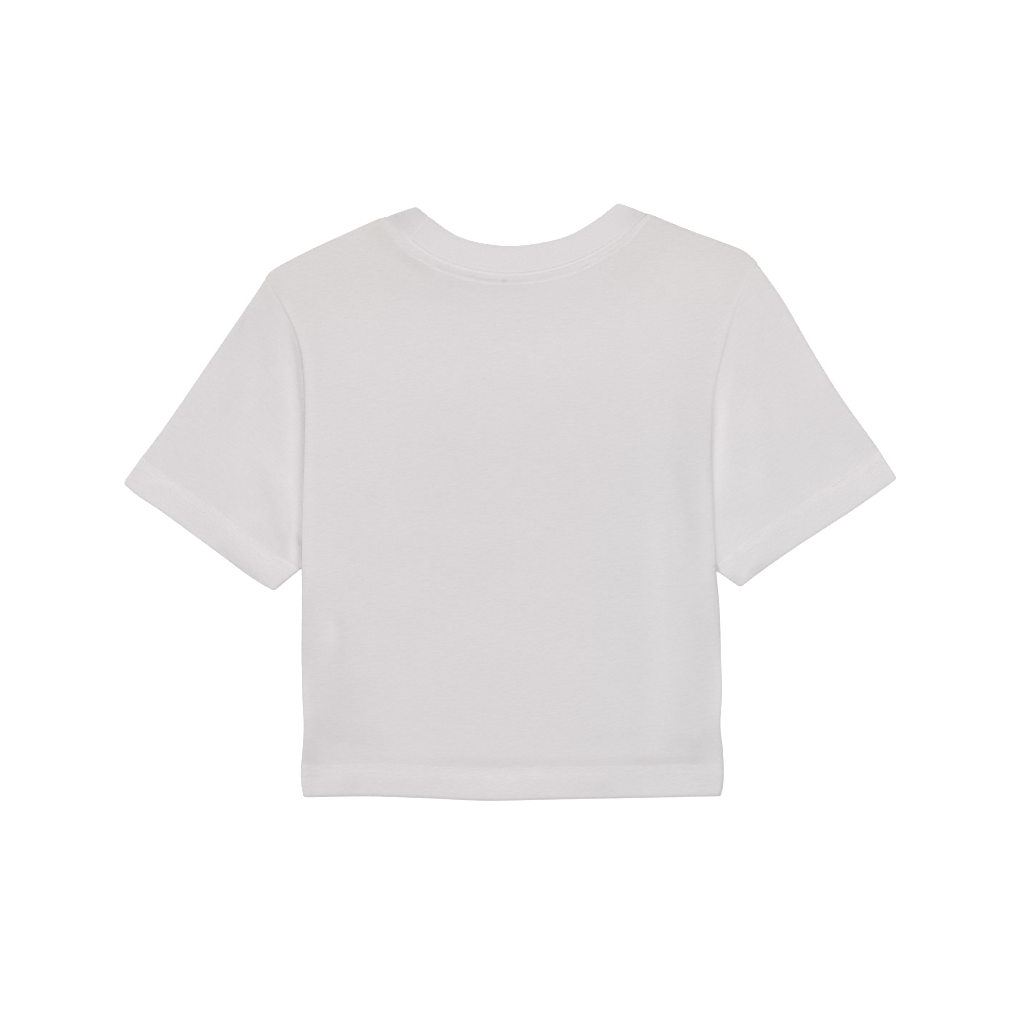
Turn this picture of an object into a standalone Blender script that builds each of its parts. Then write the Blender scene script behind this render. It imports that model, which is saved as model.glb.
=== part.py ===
"""Crop top: a short, boxy jersey T-shirt that lies flat on its front, so its back panel is uppermost.

The frame is in metres with +Z up. +Y points from the hem to the neck, and +X to the right as seen from
above. The origin lies on the resting surface, under the middle of the garment.

The cloth is a wall of one thickness. Each piece is an open sheet of the cloth's mid-surface with a Solidify
modifier: the panels are grids between their seam lines, the sleeves are rings from armhole to cuff, and the
neck rib is a folded strip that goes round the neckline. Hems are the panels' own cloth, turned up inside.
"""

from typing import NamedTuple

import bmesh
import bpy
import numpy as np

COLLECTION_NAME = "crop_top"

# Cloth and seams.
WALL = 0.0010
SEAM_GAP = 0.0003
CORNER_EASE = 0.0007
PLY = WALL + SEAM_GAP
HEM_DEPTH = 0.025
TAPE_WIDTH = 0.0095
TAPE_INSET = 0.0010
TAPE_END_SHARE = 0.3

# Heights of the mid-surfaces above the resting surface. Four plies lie on each other at a hem.
FRONT_LEVEL = WALL / 2
FRONT_TURN_UP_LEVEL = FRONT_LEVEL + PLY
BACK_TURN_UP_LEVEL = FRONT_LEVEL + 2 * PLY
TOP_LEVEL = FRONT_LEVEL + 3 * PLY
EDGE_LEVEL = FRONT_LEVEL + PLY
LOFT_LEVEL = 0.0035

# How far the raised cloth over a hem, the tape or an edge reaches before it lies at its loft again.
EDGE_ROLL = 0.008
HEM_MARGIN = 0.001
HEM_SLOPE = 0.020
TAPE_REACH = 0.022
TAPE_SLOPE = 0.016
UNDERARM_CLEAR = 0.002
UNDERARM_REACH = 0.006
UNDERARM_SLOPE = 0.028

# Grid steps.
SHOULDER_STEPS = 7
NECK_STEPS = 12
SHOULDER_SHARE = 0.2
BULGE_FADE = 6
ARMHOLE_STEPS = 12
BACK_SIDE_STEPS = 8
FRONT_SIDE_STEPS = 3
SLEEVE_STEPS = 6
RIB_STEPS = 2
TAPE_STEPS = 2
TURN_STEPS = 3
CURVE_STEPS = 16


class Pair(NamedTuple):
    """One section of an edge, on the garment's left side and on its right side."""

    left_x: float
    left_y: float
    right_x: float
    right_y: float


class Band(NamedTuple):
    """One section of the neck rib: its place on the neck seam and on the folded neck edge."""

    seam_x: float
    seam_y: float
    edge_x: float
    edge_y: float


class Fold(NamedTuple):
    """One soft fold of the upper ply: a ridge, or a trough where the height is negative."""

    start_x: float
    start_y: float
    end_x: float
    end_y: float
    half_width: float
    height: float


# From the hem's corner up to the underarm.
SIDE = (
    Pair(-0.1653, -0.2367, 0.1686, -0.2359),
    Pair(-0.1673, -0.2245, 0.1708, -0.2274),
    Pair(-0.1675, -0.2130, 0.1714, -0.2150),
    Pair(-0.1662, -0.1990, 0.1705, -0.1970),
    Pair(-0.1650, -0.1800, 0.1686, -0.1780),
    Pair(-0.1659, -0.1600, 0.1699, -0.1540),
    Pair(-0.1668, -0.1250, 0.1690, -0.1200),
    Pair(-0.1665, -0.0850, 0.1678, -0.0850),
    Pair(-0.1664, -0.0530, 0.1645, -0.0550),
)

# From the underarm up to the shoulder's tip.
ARMHOLE = (
    Pair(-0.1664, -0.0530, 0.1645, -0.0550),
    Pair(-0.1658, -0.0146, 0.1628, -0.0066),
    Pair(-0.1644, 0.0374, 0.1615, 0.0414),
    Pair(-0.1640, 0.0774, 0.1617, 0.0750),
    Pair(-0.1659, 0.1110, 0.1657, 0.1009),
    Pair(-0.1708, 0.1326, 0.1729, 0.1283),
    Pair(-0.1816, 0.1558, 0.1820, 0.1576),
    Pair(-0.1956, 0.1790, 0.1978, 0.1908),
)

# From the shoulder's tip to the neck seam.
SHOULDER = (
    Pair(-0.1956, 0.1790, 0.1978, 0.1908),
    Pair(-0.1913, 0.1846, 0.1917, 0.1974),
    Pair(-0.1812, 0.1910, 0.1820, 0.2035),
    Pair(-0.1560, 0.2038, 0.1464, 0.2166),
    Pair(-0.1278, 0.2166, 0.1222, 0.2262),
    Pair(-0.1074, 0.2258, 0.1144, 0.2296),
    Pair(-0.1001, 0.2275, 0.1096, 0.2304),
)

# From the shoulder's tip down the sleeve's folded top edge to the cuff.
SLEEVE_TOP = (
    Pair(-0.1956, 0.1790, 0.1978, 0.1908),
    Pair(-0.2072, 0.1614, 0.2185, 0.1614),
    Pair(-0.2400, 0.1134, 0.2408, 0.1230),
    Pair(-0.2729, 0.0654, 0.2646, 0.0846),
    Pair(-0.3012, 0.0270, 0.2920, 0.0462),
    Pair(-0.3098, 0.0150, 0.3098, 0.0186),
)

# From the sleeve's top edge to its underarm edge.
CUFF = (
    Pair(-0.3098, 0.0150, 0.3098, 0.0186),
    Pair(-0.2695, -0.0146, 0.2700, -0.0087),
    Pair(-0.2256, -0.0466, 0.2246, -0.0386),
    Pair(-0.1888, -0.0716, 0.1840, -0.0686),
)

# From the underarm to the cuff's corner.
SLEEVE_UNDER = (
    Pair(-0.1664, -0.0530, 0.1645, -0.0550),
    Pair(-0.1784, -0.0626, 0.1736, -0.0616),
    Pair(-0.1888, -0.0716, 0.1840, -0.0686),
)

# The hem's lower edge, from left to right.
HEM = (
    (-0.1653, -0.2367),
    (-0.1150, -0.2360),
    (-0.0720, -0.2373),
    (-0.0190, -0.2395),
    (0.0280, -0.2386),
    (0.0880, -0.2375),
    (0.1686, -0.2359),
)

# The neck rib's sections, from left to right.
BACK_NECK = (
    Band(-0.1001, 0.2275, -0.0753, 0.2364),
    Band(-0.0813, 0.2076, -0.0625, 0.2262),
    Band(-0.0592, 0.1932, -0.0436, 0.2134),
    Band(-0.0320, 0.1832, -0.0230, 0.2070),
    Band(-0.0016, 0.1798, 0.0000, 0.2047),
    Band(0.0280, 0.1838, 0.0236, 0.2070),
    Band(0.0568, 0.1934, 0.0477, 0.2134),
    Band(0.0858, 0.2092, 0.0696, 0.2262),
    Band(0.1096, 0.2304, 0.0863, 0.2393),
)
FRONT_NECK = (
    Band(-0.1001, 0.2275, -0.0753, 0.2364),
    Band(-0.0936, 0.2014, -0.0688, 0.2158),
    Band(-0.0768, 0.1750, -0.0520, 0.1918),
    Band(-0.0480, 0.1518, -0.0272, 0.1710),
    Band(0.0040, 0.1390, 0.0048, 0.1614),
    Band(0.0560, 0.1518, 0.0368, 0.1718),
    Band(0.0856, 0.1758, 0.0616, 0.1934),
    Band(0.1024, 0.2030, 0.0784, 0.2174),
    Band(0.1096, 0.2304, 0.0863, 0.2393),
)

# The largest folds of the upper plies.
BACK_FOLDS = (
    Fold(0.1224, -0.0080, 0.1230, -0.1960, 0.0110, 0.0008),
    Fold(0.1464, 0.0400, 0.1470, -0.2000, 0.0090, -0.0007),
    Fold(-0.1320, -0.0786, -0.1280, -0.1506, 0.0120, -0.0005),
    Fold(-0.1450, -0.1800, -0.1250, -0.1960, 0.0110, -0.0005),
)
SLEEVE_FOLDS = (
    Fold(-0.1790, 0.1100, -0.1760, -0.0200, 0.0080, 0.0007),
    Fold(-0.1710, 0.0900, -0.1720, -0.0300, 0.0040, -0.0009),
    Fold(0.1790, 0.1000, 0.1740, -0.0200, 0.0070, 0.0007),
    Fold(0.1690, 0.0800, 0.1680, -0.0300, 0.0040, -0.0009),
    Fold(0.2050, 0.0900, 0.2150, -0.0150, 0.0120, -0.0006),
)

# Finishes: colour, then roughness.
JERSEY_FINISH = ((0.72, 0.69, 0.70), 0.92)
RIB_FINISH = ((0.74, 0.71, 0.72), 0.90)
TAPE_FINISH = ((0.71, 0.68, 0.69), 0.92)


def resampled(line: np.ndarray, shares: np.ndarray) -> np.ndarray:
    """Return the places at the given shares of a polyline's length."""
    steps = np.linalg.norm(np.diff(line, axis=0), axis=1)
    travelled = np.concatenate(([0.0], np.cumsum(steps)))
    wanted = np.asarray(shares) * travelled[-1]
    return np.stack([np.interp(wanted, travelled, line[:, axis]) for axis in range(2)], axis=-1)


def smooth_line(points: np.ndarray) -> np.ndarray:
    """Return a fine Catmull-Rom curve through the points."""
    first = 2 * points[0] - points[1]
    last = 2 * points[-1] - points[-2]
    padded = np.vstack((first, points, last))
    share = np.linspace(0.0, 1.0, CURVE_STEPS, endpoint=False)[:, None]
    stretches = [
        0.5 * (
            2 * start
            + (end - before) * share
            + (2 * before - 5 * start + 4 * end - after) * share**2
            + (3 * start - before - 3 * end + after) * share**3
        )
        for before, start, end, after in zip(padded, padded[1:], padded[2:], padded[3:])
    ]
    return np.vstack((*stretches, points[-1:]))


def side_line(rows: tuple, side: int) -> np.ndarray:
    """Return the smooth line of an edge on the left (side -1) or on the right (side 1)."""
    table = np.array(rows)
    return smooth_line(table[:, :2] if side < 0 else table[:, 2:])


def band_lines(rows: tuple) -> tuple:
    """Return the smooth seam line and the smooth folded edge of a stretch of the neck rib."""
    table = np.array(rows)
    return smooth_line(table[:, :2]), smooth_line(table[:, 2:])


def even_places(line: np.ndarray, steps: int) -> np.ndarray:
    """Return places the same distance apart along a line."""
    return resampled(line, np.linspace(0.0, 1.0, steps + 1))


def distance_to(places: np.ndarray, line: np.ndarray) -> np.ndarray:
    """Return each place's shortest distance in plan to a polyline."""
    start = line[:-1]
    along = line[1:] - start
    from_start = places[..., None, :2] - start
    share = np.sum(from_start * along, axis=-1) / np.sum(along * along, axis=-1)
    nearest = np.clip(share, 0.0, 1.0)[..., None] * along
    return np.min(np.linalg.norm(from_start - nearest, axis=-1), axis=-1)


def smooth_step(value: np.ndarray) -> np.ndarray:
    """Return 0 below 0, 1 above 1 and a soft rise between."""
    share = np.clip(value, 0.0, 1.0)
    return share * share * (3 - 2 * share)


def nearness(distance: np.ndarray, reach: float, slope: float) -> np.ndarray:
    """Return 1 within the reach of something and 0 past its slope."""
    return 1 - smooth_step((distance - reach) / slope)


def rounded(distance: np.ndarray) -> np.ndarray:
    """Return the quarter-round rise of the cloth from a free edge, from 0 to 1."""
    share = 1 - np.clip(distance / EDGE_ROLL, 0.0, 1.0)
    return np.sqrt(1 - share * share)


def fold_height(places: np.ndarray, folds: tuple) -> np.ndarray:
    """Return the sum of the folds' heights: each is a bell across its line, and fades past its ends."""
    height = np.zeros(places.shape[:-1])
    for fold in folds:
        line = np.array(((fold.start_x, fold.start_y), (fold.end_x, fold.end_y)))
        height += fold.height * np.exp(-((distance_to(places, line) / fold.half_width) ** 2))
    return height


def mixed(low: np.ndarray, high: np.ndarray, share: np.ndarray) -> np.ndarray:
    """Return the value between low and high at the share."""
    return low + (high - low) * share


def patch(bottom: np.ndarray, top: np.ndarray, left: np.ndarray, right: np.ndarray,
          column_share: np.ndarray, row_share: np.ndarray) -> np.ndarray:
    """Return a grid between four edges, as rows from bottom to top.

    Straight lines run from the bottom edge to the top one. The bulge of each side edge from its own straight
    line is added to them, and fades away from that side.
    """
    column = column_share[None, :, None]
    row = row_share[:, None, None]
    plan = mixed(bottom[None], top[None], row)
    for line, nearby in ((left, 1 - column), (right, column)):
        plan = plan + nearby**BULGE_FADE * (line[:, None] - mixed(line[0], line[-1], row))
    return plan


def clear_of_seam(line: np.ndarray, side: int) -> np.ndarray:
    """Return a seam line moved clear of the piece that it is sewn to: to its left (1) or its right (-1).

    The gap is wider at the ends, where the cloth turns over an edge.
    """
    along = np.gradient(line, axis=0)
    along /= np.linalg.norm(along, axis=1)[:, None]
    gap = np.full((len(line), 1), SEAM_GAP)
    gap[[0, -1]] += CORNER_EASE
    return line + side * gap * np.stack((-along[:, 1], along[:, 0]), axis=1)


def turn_up(outer_level: float, inner_level: float) -> list:
    """Return a turn-up's section, from its raw edge round the fold: reach from the hem's edge, then level."""
    radius = (outer_level - inner_level) / 2
    middle = (outer_level + inner_level) / 2
    section = [(HEM_DEPTH, inner_level), (HEM_DEPTH / 2, inner_level)]
    for angle in np.linspace(np.pi, 0.0, TURN_STEPS + 1):
        reach = WALL / 2 + abs(radius) * (1 - np.sin(angle))
        section.append((reach, middle + radius * np.cos(angle)))
    section += [(HEM_DEPTH / 2, outer_level), (HEM_DEPTH, outer_level)]
    return section


def panel_plan(neck_seam: np.ndarray, side_steps: int) -> tuple:
    """Return a panel's plan above its hem, and a function that gives its plan at a reach from the hem."""
    sides = [side_line(SIDE, side) for side in (-1, 1)]
    hem = smooth_line(np.array(HEM))
    shoulder = SHOULDER_SHARE
    column_share = np.concatenate((
        np.linspace(0.0, shoulder, SHOULDER_STEPS + 1)[:-1],
        np.linspace(shoulder, 1 - shoulder, NECK_STEPS + 1),
        np.linspace(1 - shoulder, 1.0, SHOULDER_STEPS + 1)[1:],
    ))

    def hem_row(reach: float) -> np.ndarray:
        ends = [np.interp(side[0, 1] + reach, side[:, 1], side[:, 0]) for side in sides]
        x = mixed(ends[0], ends[1], column_share)
        y = np.interp(mixed(hem[0, 0], hem[-1, 0], column_share), hem[:, 0], hem[:, 1]) + reach
        return np.stack((x, y), axis=1)

    bottom = hem_row(HEM_DEPTH)
    edges = []
    for side, corner, sign in zip(sides, (bottom[0], bottom[-1]), (-1, 1)):
        above = np.vstack((corner, side[side[:, 1] > corner[1]]))
        armhole = even_places(side_line(ARMHOLE, sign), ARMHOLE_STEPS)
        edges.append(np.vstack((even_places(above, side_steps), armhole[1:])))
    travelled = np.cumsum(np.linalg.norm(np.diff(edges[0], axis=0), axis=1))
    row_share = np.concatenate(([0.0], travelled / travelled[-1]))

    shoulders = [even_places(side_line(SHOULDER, side), SHOULDER_STEPS) for side in (-1, 1)]
    neck = even_places(neck_seam, NECK_STEPS)
    top = np.vstack((shoulders[0], neck[1:-1], shoulders[1][::-1]))
    return patch(bottom, top, edges[0], edges[1], column_share, row_share), hem_row


def back_height(places: np.ndarray) -> np.ndarray:
    """Return the height of the back panel's mid-surface."""
    hem = smooth_line(np.array(HEM))
    neck_seam = band_lines(BACK_NECK)[0]
    near_hem = nearness(distance_to(places, hem), HEM_DEPTH + HEM_MARGIN, HEM_SLOPE)
    near_neck = nearness(distance_to(places, neck_seam), TAPE_REACH, TAPE_SLOPE)
    raised = np.maximum(near_hem, near_neck)
    free_edge = np.full(places.shape[:-1], np.inf)
    for side in (-1, 1):
        underarm = side_line(ARMHOLE, side)[0]
        away = np.linalg.norm(places[..., :2] - underarm, axis=-1)
        raised = np.maximum(raised, nearness(away, UNDERARM_REACH, UNDERARM_SLOPE))
        for rows in (SIDE, SHOULDER):
            free_edge = np.minimum(free_edge, distance_to(places, side_line(rows, side)))
    level = mixed(LOFT_LEVEL + fold_height(places, BACK_FOLDS), TOP_LEVEL, raised)
    edge = mixed(EDGE_LEVEL, TOP_LEVEL, raised)
    return mixed(edge, level, rounded(free_edge))


def sleeve_height(places: np.ndarray, side: int) -> np.ndarray:
    """Return the height of a sleeve's upper mid-surface."""
    near_cuff = nearness(distance_to(places, side_line(CUFF, side)), HEM_DEPTH + HEM_MARGIN, HEM_SLOPE)
    free_edge = np.minimum(
        distance_to(places, side_line(SLEEVE_TOP, side)),
        distance_to(places, side_line(SLEEVE_UNDER, side)),
    )
    level = mixed(LOFT_LEVEL + fold_height(places, SLEEVE_FOLDS), TOP_LEVEL, near_cuff)
    edge = mixed(EDGE_LEVEL, TOP_LEVEL, near_cuff)
    return mixed(edge, level, rounded(free_edge))


def with_height(plan: np.ndarray, height: np.ndarray) -> np.ndarray:
    """Return the plan's places with their heights."""
    return np.concatenate((plan, np.broadcast_to(height, plan.shape[:-1])[..., None]), axis=-1)


def panel_grid(neck_seam: np.ndarray, side_steps: int, section: list, level) -> np.ndarray:
    """Return a panel's mid-surface, from its turn-up's raw edge, round the hem and up to its top edge."""
    plan, hem_row = panel_plan(neck_seam, side_steps)
    rows = [with_height(hem_row(reach), height) for reach, height in section[:-1]]
    return np.concatenate((np.array(rows), with_height(plan, level(plan))))


def ring(plan: np.ndarray, upper: np.ndarray, lower: float, inset: float) -> np.ndarray:
    """Return a closed ring of cloth, pressed flat, over the plan line from its top edge to its under edge.

    The upper ply runs over the line and the lower ply runs back under it. Half-rounds, whose radius is half
    the height between the plies, join the two at both ends.
    """
    places = plan.copy()
    turns = []
    for end, neighbour in ((0, 1), (-1, -2)):
        inward = plan[neighbour] - plan[end]
        inward = inward / np.linalg.norm(inward)
        radius = (upper[end] - lower) / 2
        places[end] = plan[end] + inward * (inset + radius)
        angle = np.linspace(0.0, np.pi, TURN_STEPS + 1)[1:-1]
        turn_plan = places[end] - inward * (radius * np.sin(angle))[:, None]
        turns.append(with_height(turn_plan, lower + radius * (1 + np.cos(angle))))
    over = with_height(places, upper)
    under = with_height(places[::-1], lower)
    return np.concatenate((over, turns[1], under, turns[0][::-1], over[:1]))


def sleeve_grid(side: int) -> np.ndarray:
    """Return a sleeve's mid-surface as rings from the armhole to the cuff, round it and up inside."""
    armhole = clear_of_seam(even_places(side_line(ARMHOLE, side), ARMHOLE_STEPS)[::-1], side)
    cuff = even_places(side_line(CUFF, side), ARMHOLE_STEPS)
    top = side_line(SLEEVE_TOP, side)
    under = side_line(SLEEVE_UNDER, side)

    up_top, up_under = top[-CURVE_STEPS] - top[-1], under[0] - under[-1]
    up_top = up_top / np.linalg.norm(up_top)
    up_under = up_under / max(np.linalg.norm(up_under), HEM_DEPTH + UNDERARM_CLEAR)
    share = np.linspace(0.0, 1.0, ARMHOLE_STEPS + 1)
    up_sleeve = mixed(up_top, up_under, share[:, None])
    hem_line = cuff + HEM_DEPTH * up_sleeve

    edges = []
    for line, start, end in ((top, armhole[0], hem_line[0]), (under, armhole[-1], hem_line[-1])):
        kept = line[np.linalg.norm(line - line[-1], axis=1) > HEM_DEPTH]
        edges.append(even_places(np.vstack((start, kept[1:], end)), SLEEVE_STEPS))
    row_share = np.linspace(0.0, 1.0, SLEEVE_STEPS + 1)
    plan = patch(armhole, hem_line, edges[0], edges[1], share, row_share)

    inset = WALL / 2
    rings = [ring(line, sleeve_height(line, side), FRONT_LEVEL, inset) for line in plan]
    for reach, level in reversed(turn_up(TOP_LEVEL, BACK_TURN_UP_LEVEL)[:-1]):
        depth = TOP_LEVEL - level
        line = cuff + reach * up_sleeve
        rings.append(ring(line, np.full(len(line), level), FRONT_LEVEL + depth, inset + depth))
    return np.array(rings)


def rib_section() -> list:
    """Return the folded strip's section, from the seam over the neck edge and back.

    Each place is the share of the way from seam to edge, the reach past it, and the ply's radius about the
    middle of the four plies.
    """
    inner_radius = PLY / 2
    outer_radius = PLY * 3 / 2
    shares = np.linspace(0.0, 1.0, RIB_STEPS + 1)
    inner = [(share, 0.0, inner_radius) for share in shares]
    turn = [
        (1.0, PLY / 2 * np.sin(angle), PLY - PLY / 2 * np.cos(angle))
        for angle in np.linspace(0.0, np.pi, TURN_STEPS + 1)[1:-1]
    ]
    outer = [(share, 0.0, outer_radius) for share in shares[::-1]]
    return inner + turn + outer


def rib_half(rows: tuple) -> tuple:
    """Return a half of the strip: its seam line, its folded edge, and the unit vectors from seam to edge."""
    seam, edge = (even_places(line, NECK_STEPS) for line in band_lines(rows))
    seam = clear_of_seam(seam, 1)
    toward_edge = (edge - seam) / np.linalg.norm(edge - seam, axis=1)[:, None]
    return seam, edge - toward_edge * (WALL / 2 + PLY / 2), toward_edge


def rib_grid() -> np.ndarray:
    """Return the neck rib's mid-surface: the back half, a turn, the front half and a turn back.

    At each neck point the strip turns from the upper plies to the lower ones about a line from the seam to
    the neck edge.
    """
    back = rib_half(BACK_NECK)
    front = rib_half(FRONT_NECK)
    turn_depth = WALL / 2 + PLY * 3 / 2
    outward = {}
    for end, neighbour in ((0, 1), (-1, -2)):
        along = back[2][end]
        outward[end] = np.array((-along[1], along[0])) * np.sign(along[0])
        for half in (back, front):
            for line in half[:2]:
                inward = line[neighbour] - line[end]
                line[end] += inward * turn_depth / np.dot(inward, -outward[end])

    def station(half: tuple, place: int, turned: np.ndarray, angle: float) -> list:
        seam, edge, toward_edge = (line[place] for line in half)
        middle = FRONT_LEVEL + PLY * 3 / 2
        return [
            (*(mixed(seam, edge, share) + toward_edge * reach + turned * radius * np.sin(angle)),
             middle + radius * np.cos(angle))
            for share, reach, radius in rib_section()
        ]

    def turn(end: int, angles: np.ndarray) -> list:
        return [
            station([mixed(upper, lower, angle / np.pi) for upper, lower in zip(back, front)],
                    end, outward[end], angle)
            for angle in angles
        ]

    angles = np.linspace(0.0, np.pi, TURN_STEPS + 1)
    still = np.zeros(2)
    stations = turn(0, angles[::-1])
    stations += [station(back, place, still, 0.0) for place in range(1, NECK_STEPS)]
    stations += turn(-1, angles)
    stations += [station(front, place, still, np.pi) for place in range(NECK_STEPS - 1, 0, -1)]
    stations.append(stations[0])
    return np.array(stations).transpose(1, 0, 2)


def tape_grid(back: np.ndarray) -> np.ndarray:
    """Return the neck tape's mid-surface: the back panel's own strip along the neck seam, one ply down."""
    neck = slice(SHOULDER_STEPS, SHOULDER_STEPS + NECK_STEPS + 1)
    seam, below = back[-1, neck], back[-2, neck]
    spacing = distance_to(below, seam[:, :2])[:, None]
    reaches = np.linspace(TAPE_INSET, TAPE_INSET + TAPE_WIDTH, TAPE_STEPS + 1)
    grid = np.array([mixed(seam, below, reach / spacing) for reach in reaches])
    for end, neighbour in ((0, 1), (-1, -2)):
        grid[:, end] = mixed(grid[:, end], grid[:, neighbour], TAPE_END_SHARE)
    grid[..., 2] -= PLY
    return grid


def cloth_material(name: str, finish: tuple) -> bpy.types.Material:
    """Return a plain cloth material."""
    colour, roughness = finish
    material = bpy.data.materials.new(name)
    material.use_nodes = True
    shader = material.node_tree.nodes["Principled BSDF"]
    shader.inputs["Base Color"].default_value = (*colour, 1.0)
    shader.inputs["Roughness"].default_value = roughness
    shader.inputs["Metallic"].default_value = 0.0
    return material


def add_sheet(name: str, grid: np.ndarray, finish: tuple, closed: bool = False) -> bpy.types.Object:
    """Add a piece of cloth: a grid shaped to its mid-surface, then thickened to the wall.

    Args:
        name: The piece's name.
        grid: Places of the mid-surface, as rows and columns.
        finish: Colour and roughness.
        closed: Whether the last column lies on the first, so that the rows are rings.
    """
    rows, columns = grid.shape[:2]
    cloth = bmesh.new()
    bmesh.ops.create_grid(cloth, x_segments=columns - 1, y_segments=rows - 1, size=1.0)
    for vertex, place in zip(cloth.verts, grid.reshape(-1, 3)):
        vertex.co = place
    if closed:
        bmesh.ops.remove_doubles(cloth, verts=cloth.verts, dist=WALL / 100)
    mesh = bpy.data.meshes.new(name)
    cloth.to_mesh(mesh)
    cloth.free()
    mesh.shade_smooth()
    mesh.materials.append(cloth_material(name, finish))

    piece = bpy.data.objects.new(name, mesh)
    wall = piece.modifiers.new("Wall", "SOLIDIFY")
    wall.thickness = WALL
    wall.offset = 0.0
    return piece


def main() -> None:
    """Clear the scene and build the garment's six pieces."""
    for old in list(bpy.data.objects):
        bpy.data.objects.remove(old, do_unlink=True)
    garment = bpy.data.collections.new(COLLECTION_NAME)
    bpy.context.scene.collection.children.link(garment)

    back_seam = band_lines(BACK_NECK)[0]
    front_seam = band_lines(FRONT_NECK)[0]
    back = panel_grid(back_seam, BACK_SIDE_STEPS, turn_up(TOP_LEVEL, BACK_TURN_UP_LEVEL), back_height)
    front = panel_grid(front_seam, FRONT_SIDE_STEPS, turn_up(FRONT_LEVEL, FRONT_TURN_UP_LEVEL),
                       lambda plan: FRONT_LEVEL)
    pieces = (
        add_sheet("back_panel", back, JERSEY_FINISH),
        add_sheet("front_panel", front, JERSEY_FINISH),
        add_sheet("sleeve_left", sleeve_grid(-1), JERSEY_FINISH, closed=True),
        add_sheet("sleeve_right", sleeve_grid(1), JERSEY_FINISH, closed=True),
        add_sheet("neck_rib", rib_grid(), RIB_FINISH, closed=True),
        add_sheet("neck_tape", tape_grid(back), TAPE_FINISH),
    )
    for piece in pieces:
        garment.objects.link(piece)


main()
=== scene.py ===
"""Crop top: a short, boxy jersey T-shirt that lies flat on its front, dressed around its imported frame.

Lengths are in metres, apart from the tables of the cut, the creases and the seams' shades, which are in
millimetres. +X points to the right as seen from above, +Y from the hem to the neck, and +Z up. Each piece of
cloth is one open mid-surface on a grid of rows and columns, worked out as whole arrays, and a Solidify
modifier gives it its thickness. Its patterns follow a UV map in metres, whose u runs along the knit's courses
and v along its wales. Seams, hems and stitch rows are drawn from the distance to their own lines, which each
piece carries as attributes.
"""

import logging
from collections.abc import Callable, Sequence
from dataclasses import dataclass, field
from enum import Enum
from typing import ClassVar

import bpy
import numpy as np
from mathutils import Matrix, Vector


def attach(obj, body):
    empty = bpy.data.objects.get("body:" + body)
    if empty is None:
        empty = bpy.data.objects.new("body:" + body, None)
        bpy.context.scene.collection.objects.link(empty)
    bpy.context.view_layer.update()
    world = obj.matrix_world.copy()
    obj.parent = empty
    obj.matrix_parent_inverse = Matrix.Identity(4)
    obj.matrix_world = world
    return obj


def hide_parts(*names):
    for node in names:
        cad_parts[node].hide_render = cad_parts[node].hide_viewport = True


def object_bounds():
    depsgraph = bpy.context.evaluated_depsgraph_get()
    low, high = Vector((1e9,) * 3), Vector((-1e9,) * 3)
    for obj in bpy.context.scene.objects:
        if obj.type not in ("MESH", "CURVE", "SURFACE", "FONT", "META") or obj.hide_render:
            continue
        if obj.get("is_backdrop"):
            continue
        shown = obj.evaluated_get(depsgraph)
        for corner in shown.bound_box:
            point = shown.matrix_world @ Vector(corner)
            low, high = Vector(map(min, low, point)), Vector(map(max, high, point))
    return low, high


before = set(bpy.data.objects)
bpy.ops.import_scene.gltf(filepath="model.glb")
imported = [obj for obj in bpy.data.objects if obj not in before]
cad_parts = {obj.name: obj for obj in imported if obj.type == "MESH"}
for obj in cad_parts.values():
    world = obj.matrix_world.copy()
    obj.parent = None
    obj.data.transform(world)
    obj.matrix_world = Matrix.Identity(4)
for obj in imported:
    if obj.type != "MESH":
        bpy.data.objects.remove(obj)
CAD_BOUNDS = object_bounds()

LOG = logging.getLogger("crop_top")
BODY = "root"

# The tables' millimetres in a metre.
PER_METRE = 1000

Places = np.ndarray
Numbers = np.ndarray
Point = tuple[float, float]
Amounts = tuple[Point, ...]
Sections = tuple[tuple[float, float, float, float], ...]
Half = tuple[Places, Places, Places]
Height = Callable[[Places], Numbers]

# Cloth, and the mid-surfaces' levels above the resting surface.
CLOTH = 0.0009
PLY = 0.0013
HEM_DEPTH = 0.025
FRONT_LEVEL = 0.0006
FRONT_TURN_UP_LEVEL = 0.0018
BACK_TURN_UP_LEVEL = 0.0031
TOP_LEVEL = 0.0044
LOFT_LEVEL = 0.0035
EDGE_LEVEL = 0.0019
FRONT_EDGE_LEVEL = 0.0011

# A turn-up's two stitch rows and the ridge of its raw edge, as distances from its fold, and the reach and
# slope of the cloth's rise over it.
HEM_ROWS = (0.0190, 0.0248)
HEM_RIDGE = 0.0252
HEM_SLOPE = (0.026, 0.020)

# The neck's stitch rows, as distances from the seam, their pitch, and how deep stitches lie underneath.
RIB_ROW = 0.0031
FRONT_NECK_ROW = 0.0035
NECK_PITCH = 0.0024
UNDERSIDE_SUNK = 0.00023

# How far a folded row stays clear of its fold, the least step past a corner, and a distance past every line.
FOLD_CLEAR = 0.001
JUST_PAST = 0.0005
FAR = 1.0


class Side(Enum):
    """A side of the garment, as seen from above its back."""

    LEFT = -1
    RIGHT = 1


class Slot(Enum):
    """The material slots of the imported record."""

    JERSEY = "jersey"
    RIB = "rib"
    TAPE = "tape"


def smooth_step(value: Numbers) -> Numbers:
    """Return 0 below 0, 1 above 1, and between them 3 times the square less twice the cube."""
    share = np.clip(value, 0.0, 1.0)
    return share * share * (3 - 2 * share)


def nearness(distance: Numbers, reach: float, slope: float) -> Numbers:
    """Return 1 within the reach, 0 past the slope after it, and a soft fall between."""
    return 1 - smooth_step((distance - reach) / slope)


def bell(distance: Numbers, half_width: float) -> Numbers:
    """Return e to the minus square of the distance in half widths."""
    return np.exp(-((distance / half_width) ** 2))


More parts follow.
